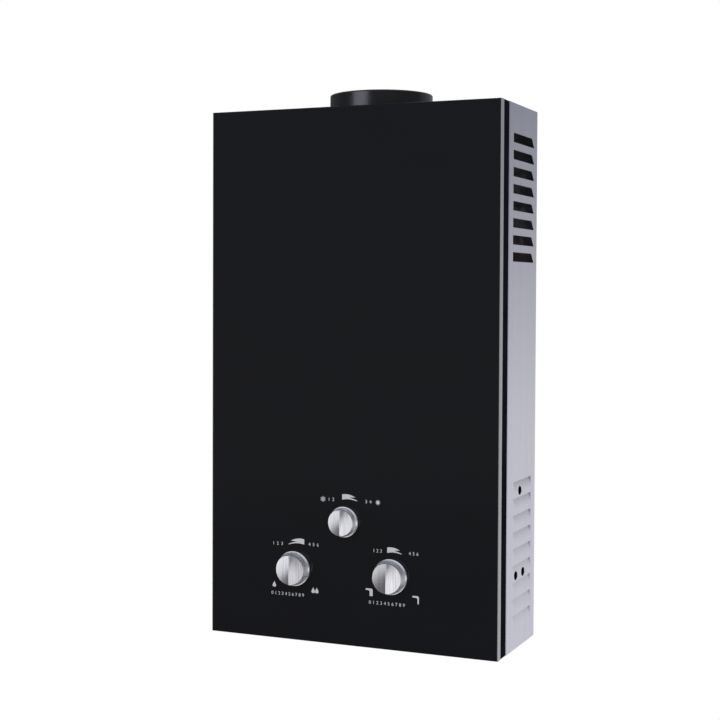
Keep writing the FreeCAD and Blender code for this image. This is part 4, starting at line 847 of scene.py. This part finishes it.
def scoopTool(centre, front, side, share):
    # cuts one half of the face, deepest beside the crease: at its foot on the left, at its top on the right
    k = knob
    far = k["radius"] * share + 1
    steps = k["scoopSteps"]
    form = bmesh.new()
    grids = []
    for cut in (False, True):
        grid = []
        for i in range(steps + 1):
            row = []
            for j in range(steps + 1):
                across, along = i / steps, j / steps
                hollowAndShade = k["scoop"] * along ** k["scoopCurve"] * (1 - across) ** k["scoopFade"]
                depth = (k["roof"] * across + hollowAndShade) * share if cut else -2
                spot = (centre[0] + side * across * far, front + depth,
                        centre[2] + side * (2 * along - 1) * far)
                row.append(form.verts.new([c * mm for c in spot]))
            grid.append(row)
        grids.append(grid)
    for grid in grids:
        for i in range(steps):
            for j in range(steps):
                form.faces.new((grid[i][j], grid[i + 1][j], grid[i + 1][j + 1], grid[i][j + 1]))
    loop = [(i, 0) for i in range(steps)] + [(steps, j) for j in range(steps)]
    loop += [(i, steps) for i in range(steps, 0, -1)] + [(0, j) for j in range(steps, 0, -1)]
    for (i, j), (m, n) in zip(loop, loop[1:] + loop[:1]):
        form.faces.new((grids[0][i][j], grids[0][m][n], grids[1][m][n], grids[1][i][j]))
    return closeMesh(form, "scoop")


def buildKnobs():
    glassFace = reach("glass_panel")[1][0]
    for place in controls:
        name = "knob_" + place
        spanX, _, spanZ = reach(name)
        share = (spanX[1] - spanX[0]) / 2 / knob["radius"]
        centre = (sum(spanX) / 2, glassFace, sum(spanZ) / 2)
        profile = [(radius, -along) for radius, along in knobProfile(share)]
        item = lathe(name + "_form", profile, centre, "y", 96)
        front = glassFace - knob["height"] * share
        tools = [scoopTool(centre, front, side, share) for side in (-1, 1)]
        carved(item, tools)
        bevelled(item, knob["softEdge"], 2, 25)
        item.name = place + "Knob"
        smooth(item, 40)
        metal = brushedChrome([c * mm for c in centre])
        settle(item, place + "_control", "knob_plastic", metal, name)
    print("knobs built")


# printed marks beside the knobs: numbers, a wedge over each knob and small pictures

marks = {
    "thickness": 0.06,
    "sunk": 0.02,
    "digitHeight": 3.6,
    # the digits, the middle of the row and its width
    "rows": (
        ("123", -86.7, 106.3, 15.8),
        ("456", -42.8, 107.9, 15.1),
        ("123", 33.3, 106.8, 12.5),
        ("456", 75.2, 106.6, 13.0),
        ("0123456789", -74.3, 50.4, 42.0),
        ("0123456789", 44.5, 50.0, 44.0),
        ("12", -21.8, 159.5, 10.0),
        ("34", 22.4, 159.5, 10.0),
    ),
    # centre, inner radius, and the angles of the thick and the thin end
    "wedges": (
        ((-1.3, 131.0), 30, -14.1, 21.9),
        ((-61.8, 78.2), 30, 14.7, -23.5),
        ((52.0, 79.5), 27, -15.7, 21.5),
    ),
    "wedgeHeight": 5.7,
    "longProng": (0.7, 1.7),
    "shortProng": (0.44, 0.78, 3.4),
    # middle, foot, width and height; the taps also the width of the spout
    "flames": ((-90.9, 57.3, 4.8, 6.7), (-43.1, 54.2, 4.6, 6.7), (-38.7, 54.2, 4.6, 6.7)),
    "taps": ((19.8, 56.9, 8.2, 8.2, 3.6), (74.2, 52.9, 7.3, 8.6, 1.6)),
    "tapBar": 1.9,
    "tapNeck": 1.6,
    "tapCorner": 1.2,
    # centre, inner and outer radius, rays; and centre, reach and half width of an arm, arms
    "sun": (33.6, 159.5, 1.5, 3.2, 10),
    "snow": (-31.6, 159.5, 3.0, 0.5, 3),
}


def wedgeOutline(centre, radius, thick, thin):
    # a wedge along an arc whose thin end splits into a long prong and a shorter one above it
    height = marks["wedgeHeight"]
    tip, root = marks["longProng"]
    rootShare, tipShare, tipLift = marks["shortProng"]
    # share along the arc and lift above it, line by line round the wedge
    lines = (
        (0, 1, lambda part: 0),
        (1, rootShare, lambda part: tip + (root - tip) * part),
        (rootShare, tipShare, lambda part: root + (tipLift - root) * part),
        (tipShare, 0, lambda part: tipLift + (height - tipLift) * (1 - (1 - part) ** 2)),
    )
    steps = 8
    spots = [(start + (end - start) * step / steps, liftAt(step / steps))
             for start, end, liftAt in lines for step in range(steps)]
    points = []
    for share, lift in spots + [(0, height)]:
        upright = math.asin(math.sin(math.radians(thick)) * radius / (radius + lift))
        angle = upright + (math.radians(thin) - upright) * share
        points.append((centre[0] + (radius + lift) * math.sin(angle),
                       centre[1] + (radius + lift) * math.cos(angle)))
    return points


def flameOutline(x, foot, width, height):
    # a drop: pointed at its top and widest below its middle
    steps, taper, fullness = 24, 2.2, 1.45
    points = []
    for step in range(steps):
        turn = 2 * math.pi * step / steps
        swell = fullness * math.sin(turn) * math.sin(turn / 2) ** taper
        points.append((x + width / 2 * swell, foot + height * (1 + math.cos(turn)) / 2))
    return points


def tapOutline(x, foot, width, height, spout):
    # a bar that bends down into a spout at its right end
    corner = marks["tapCorner"]
    end, head = x + width, foot + height
    inner, under = end - spout, head - marks["tapBar"]
    return [(x, under), (inner - marks["tapNeck"], under), (inner, under - corner), (inner, foot),
            (end, foot), (end, head - corner), (end - corner, head), (x, head)]


def starOutline(x, z, inner, outer, rays):
    points = []
    for step in range(rays * 2):
        angle = math.pi * step / rays
        radius = outer if step % 2 == 0 else inner
        points.append((x + radius * math.sin(angle), z + radius * math.cos(angle)))
    return points


def flakeArms(x, z, arm, half, count):
    # bars that cross at one point
    middle = Vector((x, z))
    outlines = []
    for step in range(count):
        angle = math.pi * step / count
        along = Vector((math.sin(angle), math.cos(angle))) * arm
        across = Vector((math.cos(angle), -math.sin(angle))) * half
        outlines.append([tuple(middle + along * a + across * b) for a, b in rectangle((-1, 1), (-1, 1))])
    return outlines


def standingDigit(digit, place, thickness):
    # one character of the built-in font, upright on the glass; its capitals are 0.7 of its size high
    curve = bpy.data.curves.new("digit", "FONT")
    curve.body = digit
    curve.size = marks["digitHeight"] / 0.7 * mm
    curve.align_x = "CENTER"
    curve.align_y = "CENTER"
    curve.extrude = thickness / 2 * mm
    curve.resolution_u = 4
    item = objectFrom("digit", curve)
    graph = bpy.context.evaluated_depsgraph_get()
    mesh = bpy.data.meshes.new_from_object(item.evaluated_get(graph), depsgraph=graph)
    bpy.data.objects.remove(item)
    stand = Matrix.Rotation(math.pi / 2, 4, "X")
    mesh.transform(Matrix.Translation([c * mm for c in place]) @ stand)
    form = bmesh.new()
    form.from_mesh(mesh)
    return closeMesh(form, "digit")


def buildMarks(ink):
    face = reach("glass_panel")[1][0]
    span = (face - marks["thickness"], face + marks["sunk"])
    outlines = [wedgeOutline(*wedge) for wedge in marks["wedges"]]
    outlines += [flameOutline(*flame) for flame in marks["flames"]]
    outlines += [tapOutline(*tap) for tap in marks["taps"]]
    outlines += [starOutline(*marks["sun"])] + flakeArms(*marks["snow"])
    items = [prism("mark", outline, span[0], span[1], "y") for outline in outlines]
    for words, x, z, width in marks["rows"]:
        for index, digit in enumerate(words):
            left = x - width / 2 + width * (index + 0.5) / len(words)
            items.append(standingDigit(digit, (left, sum(span) / 2, z), span[1] - span[0]))
    piece = release(gather(items), "controlMarks")
    settle(piece, "casing", "ceramic", ink)
    print("marks printed")


# screws with a cross recess

screw = {
    "headRadius": 3.5,
    "headHeight": 1.6,
    "headRim": 0.5,
    "headSteps": 5,
    "shank": 1.7,
    "tipShare": 0.6,
    "tipLength": 0.8,
    "slotWidth": 0.9,
    "slotReach": 1.9,
    "slotDepth": 1.0,
    # what the round sides of a screw's box may differ by, and the middle of the case
    "sameWidth": 0.3,
    "caseMiddle": (0, -67.5, 295),
}


def crossScrew(length):
    # a pan head that looks along +Z, its underside at the origin
    s = screw
    steps, rim = s["headSteps"], s["headRim"]
    dome = []
    for step in range(steps):
        angle = math.pi / 2 * step / steps
        dome.append((s["headRadius"] * math.cos(angle), rim + (s["headHeight"] - rim) * math.sin(angle)))
    profile = [(0, -length), (s["shank"] * s["tipShare"], -length), (s["shank"], -length + s["tipLength"]),
               (s["shank"], 0), (s["headRadius"], 0)] + dome + [(0, s["headHeight"])]
    item = lathe("crossScrew", profile, (0, 0, 0), "z", 24)
    tools = []
    for x, y in ((s["slotReach"], s["slotWidth"] / 2), (s["slotWidth"] / 2, s["slotReach"])):
        corners = rectangle((-x, x), (-y, y))
        tools.append(prism("recess", corners, s["headHeight"] - s["slotDepth"], s["headHeight"] + 1))
    return carved(item, tools)


def pieceBoxes(name):
    # the span of each separate body in a CAD node, in millimetres
    form = bmesh.new()
    form.from_mesh(nodes[name].data)
    bmesh.ops.remove_doubles(form, verts=form.verts, dist=weld["copy"] * mm)
    left = set(form.verts)
    boxes = []
    while left:
        found = [left.pop()]
        for vertex in found:
            for edge in vertex.link_edges:
                other = edge.other_vert(vertex)
                if other in left:
                    left.remove(other)
                    found.append(other)
        spots = [vertex.co / mm for vertex in found]
        boxes.append([(min(p[axis] for p in spots), max(p[axis] for p in spots)) for axis in range(3)])
    form.free()
    return boxes


def buildScrews(name, scatter, zinc):
    # each screw stands where its CAD solid stands, its head turned away from the case
    tree, keys = scatter
    turns = {
        (0, 1): (0, math.pi / 2, 0), (0, -1): (0, -math.pi / 2, 0), (1, 1): (-math.pi / 2, 0, 0),
        (1, -1): (math.pi / 2, 0, 0), (2, 1): (0, 0, 0), (2, -1): (math.pi, 0, 0),
    }
    groups = {}
    for box in pieceBoxes(name):
        lengths = [high - low for low, high in box]
        axis = next(i for i in range(3) if abs(lengths[i - 2] - lengths[i - 1]) < screw["sameWidth"])
        spot = [(low + high) / 2 for low, high in box]
        way = 1 if spot[axis] > screw["caseMiddle"][axis] else -1
        spot[axis] = (box[axis][1] if way > 0 else box[axis][0]) - way * screw["headHeight"]
        length = lengths[axis] - screw["headHeight"]
        groups.setdefault((axis, way, round(length, 1)), []).append(spot)
    items = []
    for (axis, way, length), spots in groups.items():
        pattern = crossScrew(length)
        items.append(grow("screws", tree, keys, {
            "Piece": pattern, "Turn": turns[axis, way], "Finish": zinc}, spots))
        bpy.data.objects.remove(pattern)
    piece = release(gather(items), "flueScrews" if name == "flue_screws" else "caseScrews")
    smooth(piece)
    settle(piece, "casing", "steel_hardware", zinc, name)
    print(name, "set:", {key: len(value) for key, value in groups.items()})


# pipe ends: half-inch nipples with a rolled thread below the case

nipple = {
    "threadRadius": 10.48,
    "threadDepth": 0.95,
    "pitch": 1.814,
    "shankFoot": -4,
    "shankRadius": 12.2,
    "hexFlats": 16,
    "hexFoot": 0.8,
    "hexTop": 5.8,
    "hexEdge": 1.0,
    "hexInset": 1.5,
    "neckRadius": 11,
    "boreRadius": 7.5,
    "boreTop": 14,
    "leadIn": 1.2,
    "shankEdge": 0.4,
    # the thread's ridge: how far it lies off the core, its share of the depth and the plain length above it
    "ridgeLift": 0.02,
    "ridgeShare": 0.95,
    "runOut": 0.6,
}


def hexagonBlock(name, flats, centre, low, high, edge):
    # a hexagon whose corners are turned off at both ends
    far = flats / math.cos(math.pi / 6)
    angles = [math.pi / 3 * i for i in range(6)]
    corners = [(centre[0] + far * math.cos(angle), centre[1] + far * math.sin(angle)) for angle in angles]
    block = prism(name, corners, low, high)
    narrow, wide = flats - 0.2, far + 0.05
    foot, head = low - 0.01, high + 0.01
    profile = [(0, foot), (narrow, foot), (wide, low + edge), (wide, high - edge), (narrow, head), (0, head)]
    return carved(block, [lathe("turning", profile, centre, "z", 48)], "INTERSECT")


def buildNipples(thread, brass):
    n = nipple
    tree, keys = thread
    for name in ("cold_inlet", "hot_outlet", "gas_inlet"):
        spanX, spanY, (foot, top) = reach(name)
        centre = (sum(spanX) / 2, sum(spanY) / 2, 0)
        core = n["threadRadius"] - n["threadDepth"]
        shank, bore, inset = n["shankRadius"], n["boreRadius"], n["hexFlats"] - n["hexInset"]
        profile = [
            (bore, foot), (core - n["leadIn"] / 2, foot), (core, foot + n["leadIn"]), (core, n["shankFoot"]),
            (shank - n["shankEdge"], n["shankFoot"]), (shank, n["shankFoot"] + n["shankEdge"]),
            (shank, n["hexFoot"]), (inset, n["hexFoot"]), (inset, n["hexTop"]),
            (n["neckRadius"], n["hexTop"]), (n["neckRadius"], top), (0, top), (0, n["boreTop"]),
            (bore, n["boreTop"]),
        ]
        body = lathe(name + "_form", profile, centre)
        ring = hexagonBlock("nippleHexagon", n["hexFlats"], centre, n["hexFoot"], n["hexTop"], n["hexEdge"])
        carved(ring, [rod("nippleBore", n["hexFlats"] - 2, (n["hexFoot"] - 1, n["hexTop"] + 1), centre)])
        threadFoot = foot + n["leadIn"]
        turns = (n["shankFoot"] - threadFoot - n["runOut"]) / n["pitch"]
        ridge = grow("ridge", tree, keys, {
            "Radius": (core + n["ridgeLift"]) * mm, "Height": turns * n["pitch"] * mm, "Turns": turns,
            "Ridge": n["threadDepth"] * n["ridgeShare"] * mm, "Finish": brass})
        place = Vector((centre[0], centre[1], threadFoot + n["runOut"] / 3)) * mm
        ridge.data.transform(Matrix.Translation(place))
        first, second = name.split("_")
        piece = release(gather([body, ring, ridge]), first + second.capitalize())
        smooth(piece)
        settle(piece, "casing", "brass", brass, name)
    print("pipe ends threaded")


# drain plug: a knurled head on a short screw

drainPlug = {"gripTop": -3, "shankRadius": 4, "ribs": 30, "ribDepth": 0.55, "edge": 0.9}


def buildDrainPlug(brass):
    d = drainPlug
    spanX, spanY, (foot, top) = reach("drain_plug")
    centre = (sum(spanX) / 2, sum(spanY) / 2, 0)
    radius = (spanX[1] - spanX[0]) / 2
    outline = []
    for step in range(d["ribs"] * 4):
        angle = 2 * math.pi * step / (d["ribs"] * 4)
        here = radius - d["ribDepth"] * (0, 0.5, 1, 0.5)[step % 4]
        outline.append((centre[0] + here * math.cos(angle), centre[1] + here * math.sin(angle)))
    gripTop, edge = d["gripTop"], d["edge"]
    grip = prism("grip", outline, foot, gripTop)
    narrow, wide = radius - edge, radius + 0.1
    chamfer = [(0, foot - 0.1), (narrow, foot), (wide, foot + edge), (wide, gripTop - edge),
               (narrow, gripTop), (0, gripTop + 0.1)]
    carved(grip, [lathe("turning", chamfer, centre)], "INTERSECT")
    shank = rod("shank", d["shankRadius"], (gripTop - 1, top), centre, "z", 40)
    piece = release(gather([grip, shank]), "drainPlug")
    smooth(piece)
    settle(piece, "drain_plug", "brass", brass, "drain_plug")
    print("drain plug knurled")


# battery door and locknuts: the CAD forms with their edges broken, ribs under the door's tab

doorRibs = {
    "count": 5,
    "pitch": 2.2,
    "width": 1.0,
    "height": 0.5,
    "margin": 1.6,
    "half": 7.5,
    "sunk": 0.3,
    "edge": 0.2,
    "doorEdge": 0.25,
}
locknutEdge = 0.5


def roundedCopy(name, width, angle=40):
    # a CAD node's form with its sharp edges broken
    form = bmesh.new()
    form.from_mesh(nodes[name].data)
    return bevelled(closeMesh(form, name + "_copy"), width, 2, angle)


def buildDoor(row, plastic):
    r = doorRibs
    tree, keys = row
    door = roundedCopy("battery_door", r["doorEdge"])
    spanX, spanY, spanZ = reach("battery_door")
    middle = sum(spanX) / 2
    corners = rectangle((middle - r["half"], middle + r["half"]), (0, r["width"]))
    rib = prism("rib", corners, spanZ[0] - r["height"], spanZ[0] + r["sunk"])
    ribs = grow("ribs", tree, keys, {
        "Piece": rib, "Count": r["count"], "Start": (0, (spanY[0] + r["margin"]) * mm, 0),
        "Step": (0, r["pitch"] * mm, 0), "Finish": plastic})
    bpy.data.objects.remove(rib)
    piece = release(gather([door, bevelled(ribs, r["edge"], 1)]), "batteryDoor")
    smooth(piece)
    settle(piece, "battery_door", "black_plastic", plastic, "battery_door")
    print("battery door ribbed")


def buildLocknuts(brass):
    piece = roundedCopy("pipe_locknuts", locknutEdge)
    piece.name = "pipeLocknuts"
    smooth(piece)
    settle(piece, "casing", "brass", brass, "pipe_locknuts")
    print("locknuts chamfered")


# carried-over CAD nodes and their finishes

def paintFrame(finishes, special):
    # every node takes the finish of its slot, a few take one of their own
    slotOf = {part["node"]: part["material_slot"] for part in frame["record"]["subparts"]}
    for name, item in nodes.items():
        item.data.materials.clear()
        item.data.materials.append(special.get(name, finishes[slotOf[name]]))
    print("frame painted")


# studio: pale floor, white surroundings, a soft key light and the photograph's camera

# light levels are fractions of white; the pairs say where each begins and where it is full: as the sine of
# the angle above the horizon, as the likeness to a direction, or in metres on the floor
studio = {
    "dome": 0.72,
    "lowSky": 0.98,
    "highSky": 0.4,
    "skyRise": (-0.1, 0.17),
    "valance": 0.12,
    "valanceFoot": (0.03, 0.1),
    "valanceTop": (0.32, 0.2),
    "paleWay": (0.41, 0.91, 0),
    "paleEdges": (0.87, 0.7),
    "ceiling": 0.9,
    "ceilingRise": (0.32, 0.6),
    "coolRise": (-0.05, 0.2),
    "screen": 0.2,
    "screenTop": (0.28, 0.16),
    "screenWay": (-0.389, -0.921, 0),
    "screenEdges": (0.985, 0.993),
    "floorDrop": 0.25,
    "floorReach": 9.0,
    "mirrorEye": (0.626, 1.34, 0),
    "floorGlow": 1.06,
    "floorSeen": 1.065,
    "floorDim": 0.14,
    "dimEdges": (1.0, 4.5),
    "nearEdges": (1.3, 0.7),
    "frontEdges": (-0.15, -0.3),
    "cameraShare": 0.85,
    "glint": (0.84, 0.84, 1.0),
    "lampAim": -0.07,
    # name, power, place, size, and whether matt surfaces see it instead of glossy ones
    "lamps": (
        ("keyLight", 26, (-0.98, -2.9, 1.78), (1.4, 1.5), True),
        ("glintStrip", 19, (-1.27, -2.71, 1.0), (1.7, 0.4), False),
    ),
}

camera = {
    "eye": (0.62619, -1.61147, 0.38772),
    "yaw": 24.17,
    "pitch": 1.619,
    "roll": 0.207,
    "focalPixels": 1471.3,
    "centrePixel": (319.6, 333.4),
    "imageSize": 720,
    "sensor": 36.0,
}


def within(tree, *limits):
    # 1 where every limit holds, else 0: a limit is a pattern, or a value with where it begins and is full
    total = 1.0
    for limit in limits:
        if isinstance(limit, tuple):
            value, (begin, full) = limit
            inputs = {"Value": value, "From Min": begin, "From Max": full}
            soft = addNode(tree, "ShaderNodeMapRange", inputs, interpolation_type="SMOOTHSTEP")
            limit = soft.outputs["Result"]
        total = addNode(tree, "ShaderNodeMath", {0: total, 1: limit}, operation="MULTIPLY").outputs[0]
    return total


def lit(tree, level, target, *limits):
    # a light level that goes over to another one where the limits hold
    inputs = {0: within(tree, *limits), 2: level, 3: target}
    return addNode(tree, "ShaderNodeMix", inputs, data_type="FLOAT").outputs[0]


def screenMask(tree, way):
    # 1 towards the dark screen that the glass mirrors, 0 away from it
    flat = addNode(tree, "ShaderNodeVectorMath", {0: way, 1: (1, 1, 0)}, operation="MULTIPLY").outputs[0]
    level = addNode(tree, "ShaderNodeVectorMath", {0: flat}, operation="NORMALIZE").outputs[0]
    aim = Vector(studio["screenWay"]).normalized()
    likeness = addNode(tree, "ShaderNodeVectorMath", {0: level, 1: aim}, operation="DOT_PRODUCT")
    return within(tree, (likeness.outputs["Value"], studio["screenEdges"]))


def buildWorld():
    # white to the camera; metal sees a pale room, darker above; the glass mirrors a dark screen
    world = bpy.data.worlds.new("paleStudio")
    scene.world = world
    world.use_nodes = True
    tree = world.node_tree
    tree.nodes.clear()
    s = studio
    ray = addNode(tree, "ShaderNodeLightPath").outputs
    way = addNode(tree, "ShaderNodeTexCoord").outputs["Generated"]
    height = addNode(tree, "ShaderNodeSeparateXYZ", {"Vector": way}).outputs["Z"]
    behind = addNode(tree, "ShaderNodeVectorMath", {0: way, 1: s["paleWay"]}, operation="DOT_PRODUCT")
    pale = (behind.outputs["Value"], s["paleEdges"])
    sky = lit(tree, s["lowSky"], s["highSky"], (height, s["skyRise"]))
    sky = lit(tree, sky, s["valance"], (height, s["valanceFoot"]), (height, s["valanceTop"]), pale)
    sky = lit(tree, sky, s["ceiling"], (height, s["ceilingRise"]))
    mirrored = lit(tree, sky, s["screen"], screenMask(tree, way), (height, s["screenTop"]))
    seen = addNode(tree, "ShaderNodeMath", {
        0: ray["Is Glossy Ray"], 1: ray["Is Transmission Ray"]}, operation="MAXIMUM").outputs[0]
    level = lit(tree, lit(tree, s["dome"], mirrored, seen), 1.0, ray["Is Camera Ray"])
    cool = within(tree, seen, (height, s["coolRise"]))
    tint = twoTone(tree, cool, "#ffffff", "#f2f8ff", wholeSpan)
    back = addNode(tree, "ShaderNodeBackground", {"Color": tint, "Strength": level})
    addNode(tree, "ShaderNodeOutputWorld", {"Surface": back.outputs[0]})


def buildFloor():
    # pale matt floor: white to the camera and to metal, dim where the glass and the knobs look down
    s = studio
    form = bmesh.new()
    bmesh.ops.create_circle(form, cap_ends=True, segments=64, radius=s["floorReach"])
    for vertex in form.verts:
        vertex.co.z = -s["floorDrop"]
    floor = release(form, "floor")
    material = bpy.data.materials.new("paleFloor")
    material.use_nodes = True
    tree = material.node_tree
    tree.nodes.clear()
    ray = addNode(tree, "ShaderNodeLightPath").outputs
    seen = ray["Is Camera Ray"]
    place = addNode(tree, "ShaderNodeTexCoord").outputs["Object"]
    flat = addNode(tree, "ShaderNodeVectorMath", {0: place, 1: (1, 1, 0)}, operation="MULTIPLY").outputs[0]
    distance = addNode(tree, "ShaderNodeVectorMath", {0: flat}, operation="LENGTH").outputs["Value"]
    depth = addNode(tree, "ShaderNodeSeparateXYZ", {"Vector": place}).outputs["Y"]
    way = addNode(tree, "ShaderNodeVectorMath", {0: place, 1: s["mirrorEye"]}, operation="SUBTRACT")
    dim = lit(tree, s["floorDim"], s["screen"], (distance, s["dimEdges"]))
    ahead = screenMask(tree, way.outputs[0])
    close = within(tree, (distance, s["nearEdges"]))
    mask = addNode(tree, "ShaderNodeMath", {0: ahead, 1: close}, operation="MAXIMUM")
    mirrored = lit(tree, s["floorGlow"], dim, mask.outputs[0], (depth, s["frontEdges"]))
    level = lit(tree, mirrored, s["floorSeen"], seen)
    glow = addNode(tree, "ShaderNodeEmission", {"Color": tone("#ffffff"), "Strength": level}).outputs[0]
    matt = addNode(tree, "ShaderNodeBsdfDiffuse", {"Color": tone("#f1f1f1")}).outputs[0]
    partly = addNode(tree, "ShaderNodeMath", {0: seen, 1: s["cameraShare"]}, operation="MULTIPLY").outputs[0]
    bright = addNode(tree, "ShaderNodeMath", {0: ray["Is Glossy Ray"], 1: partly}, operation="MAXIMUM")
    upper = addNode(tree, "ShaderNodeMixShader", {0: bright.outputs[0], 1: matt, 2: glow}).outputs[0]
    # from below the floor lets the eye through to the underside
    under = addNode(tree, "ShaderNodeNewGeometry").outputs["Backfacing"]
    clear = addNode(tree, "ShaderNodeBsdfTransparent").outputs[0]
    surface = addNode(tree, "ShaderNodeMixShader", {0: under, 1: upper, 2: clear}).outputs[0]
    addNode(tree, "ShaderNodeOutputMaterial", {"Surface": surface})
    floor.data.materials.append(material)


def buildLights():
    # a soft lamp for matt surfaces and a low, bright strip that only glossy ones see
    for name, power, place, size, matt in studio["lamps"]:
        lamp = bpy.data.lights.new(name, "AREA")
        lamp.shape = "RECTANGLE"
        lamp.size, lamp.size_y = size
        lamp.energy = power
        lamp.color = (1, 1, 1) if matt else studio["glint"]
        item = objectFrom(name, lamp)
        item.location = place
        aim = Vector((0, studio["lampAim"], place[2])) - Vector(place)
        item.rotation_euler = aim.to_track_quat("-Z", "Y").to_euler()
        item.visible_diffuse = matt
        item.visible_glossy = not matt
        if not matt:
            glinting = bpy.data.collections.new("glinting")
            glinting.objects.link(nodes["flue_collar"])
            item.light_linking.receiver_collection = glinting


def buildCamera():
    c = camera
    yaw, pitch, roll = (math.radians(c[key]) for key in ("yaw", "pitch", "roll"))
    ahead = Vector((-math.sin(yaw) * math.cos(pitch), math.cos(yaw) * math.cos(pitch), -math.sin(pitch)))
    right = Vector((math.cos(yaw), math.sin(yaw), 0))
    up = right.cross(ahead)
    tiltedRight = right * math.cos(roll) + up * math.sin(roll)
    tiltedUp = up * math.cos(roll) - right * math.sin(roll)
    lens = bpy.data.cameras.new("camera")
    lens.sensor_width = c["sensor"]
    lens.lens = c["focalPixels"] / c["imageSize"] * c["sensor"]
    lens.shift_x = 0.5 - c["centrePixel"][0] / c["imageSize"]
    lens.shift_y = c["centrePixel"][1] / c["imageSize"] - 0.5
    item = objectFrom("camera", lens)
    axes = Matrix((tiltedRight, tiltedUp, -ahead)).transposed().to_4x4()
    item.matrix_world = Matrix.Translation(c["eye"]) @ axes
    scene.camera = item


def main():
    steel = brushedStainless()
    zinc = zincPlate()
    aluminium = anodisedAluminium()
    plastic = mouldedAbs()
    finishes = {
        "brushed_stainless_steel": steel,
        "galvanised_steel": galvanisedSheet(),
        "black_enamelled_steel": blackEnamel(),
        "black_glass": blackGlass(),
        "anodised_aluminium": aluminium,
        "foam_tape": foamTape(),
        "copper": drawnCopper(),
        "brass": turnedBrass(),
        "cast_aluminium": dieCastAluminium(),
        "burner_steel": heatTintedSteel(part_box("burner_bars")[1].z),
        "steel_hardware": zinc,
        "ceramic": glazedCeramic(),
        "silicone_rubber": siliconeRubber(),
        "knob_plastic": zinc,
        "black_plastic": plastic,
        "battery_wrap": cellWrap(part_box("batteries")[0].z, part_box("batteries")[1].z),
    }
    paintFrame(finishes, {"front_frame": satinPaint()})
    row = rowTree()
    scatter = scatterTree()
    buildSidePanels(row, steel)
    buildEdgeTrims(aluminium)
    buildPane(finishes["black_glass"])
    buildKnobs()
    buildMarks(firedInk())
    buildScrews("flue_screws", scatter, zinc)
    buildScrews("case_screws", scatter, zinc)
    buildNipples(threadTree(), finishes["brass"])
    buildDrainPlug(finishes["brass"])
    buildDoor(row, plastic)
    buildLocknuts(finishes["brass"])
    buildWorld()
    buildFloor()
    buildLights()
    buildCamera()
    scene.view_settings.view_transform = "Standard"
    print("studio set")


main()
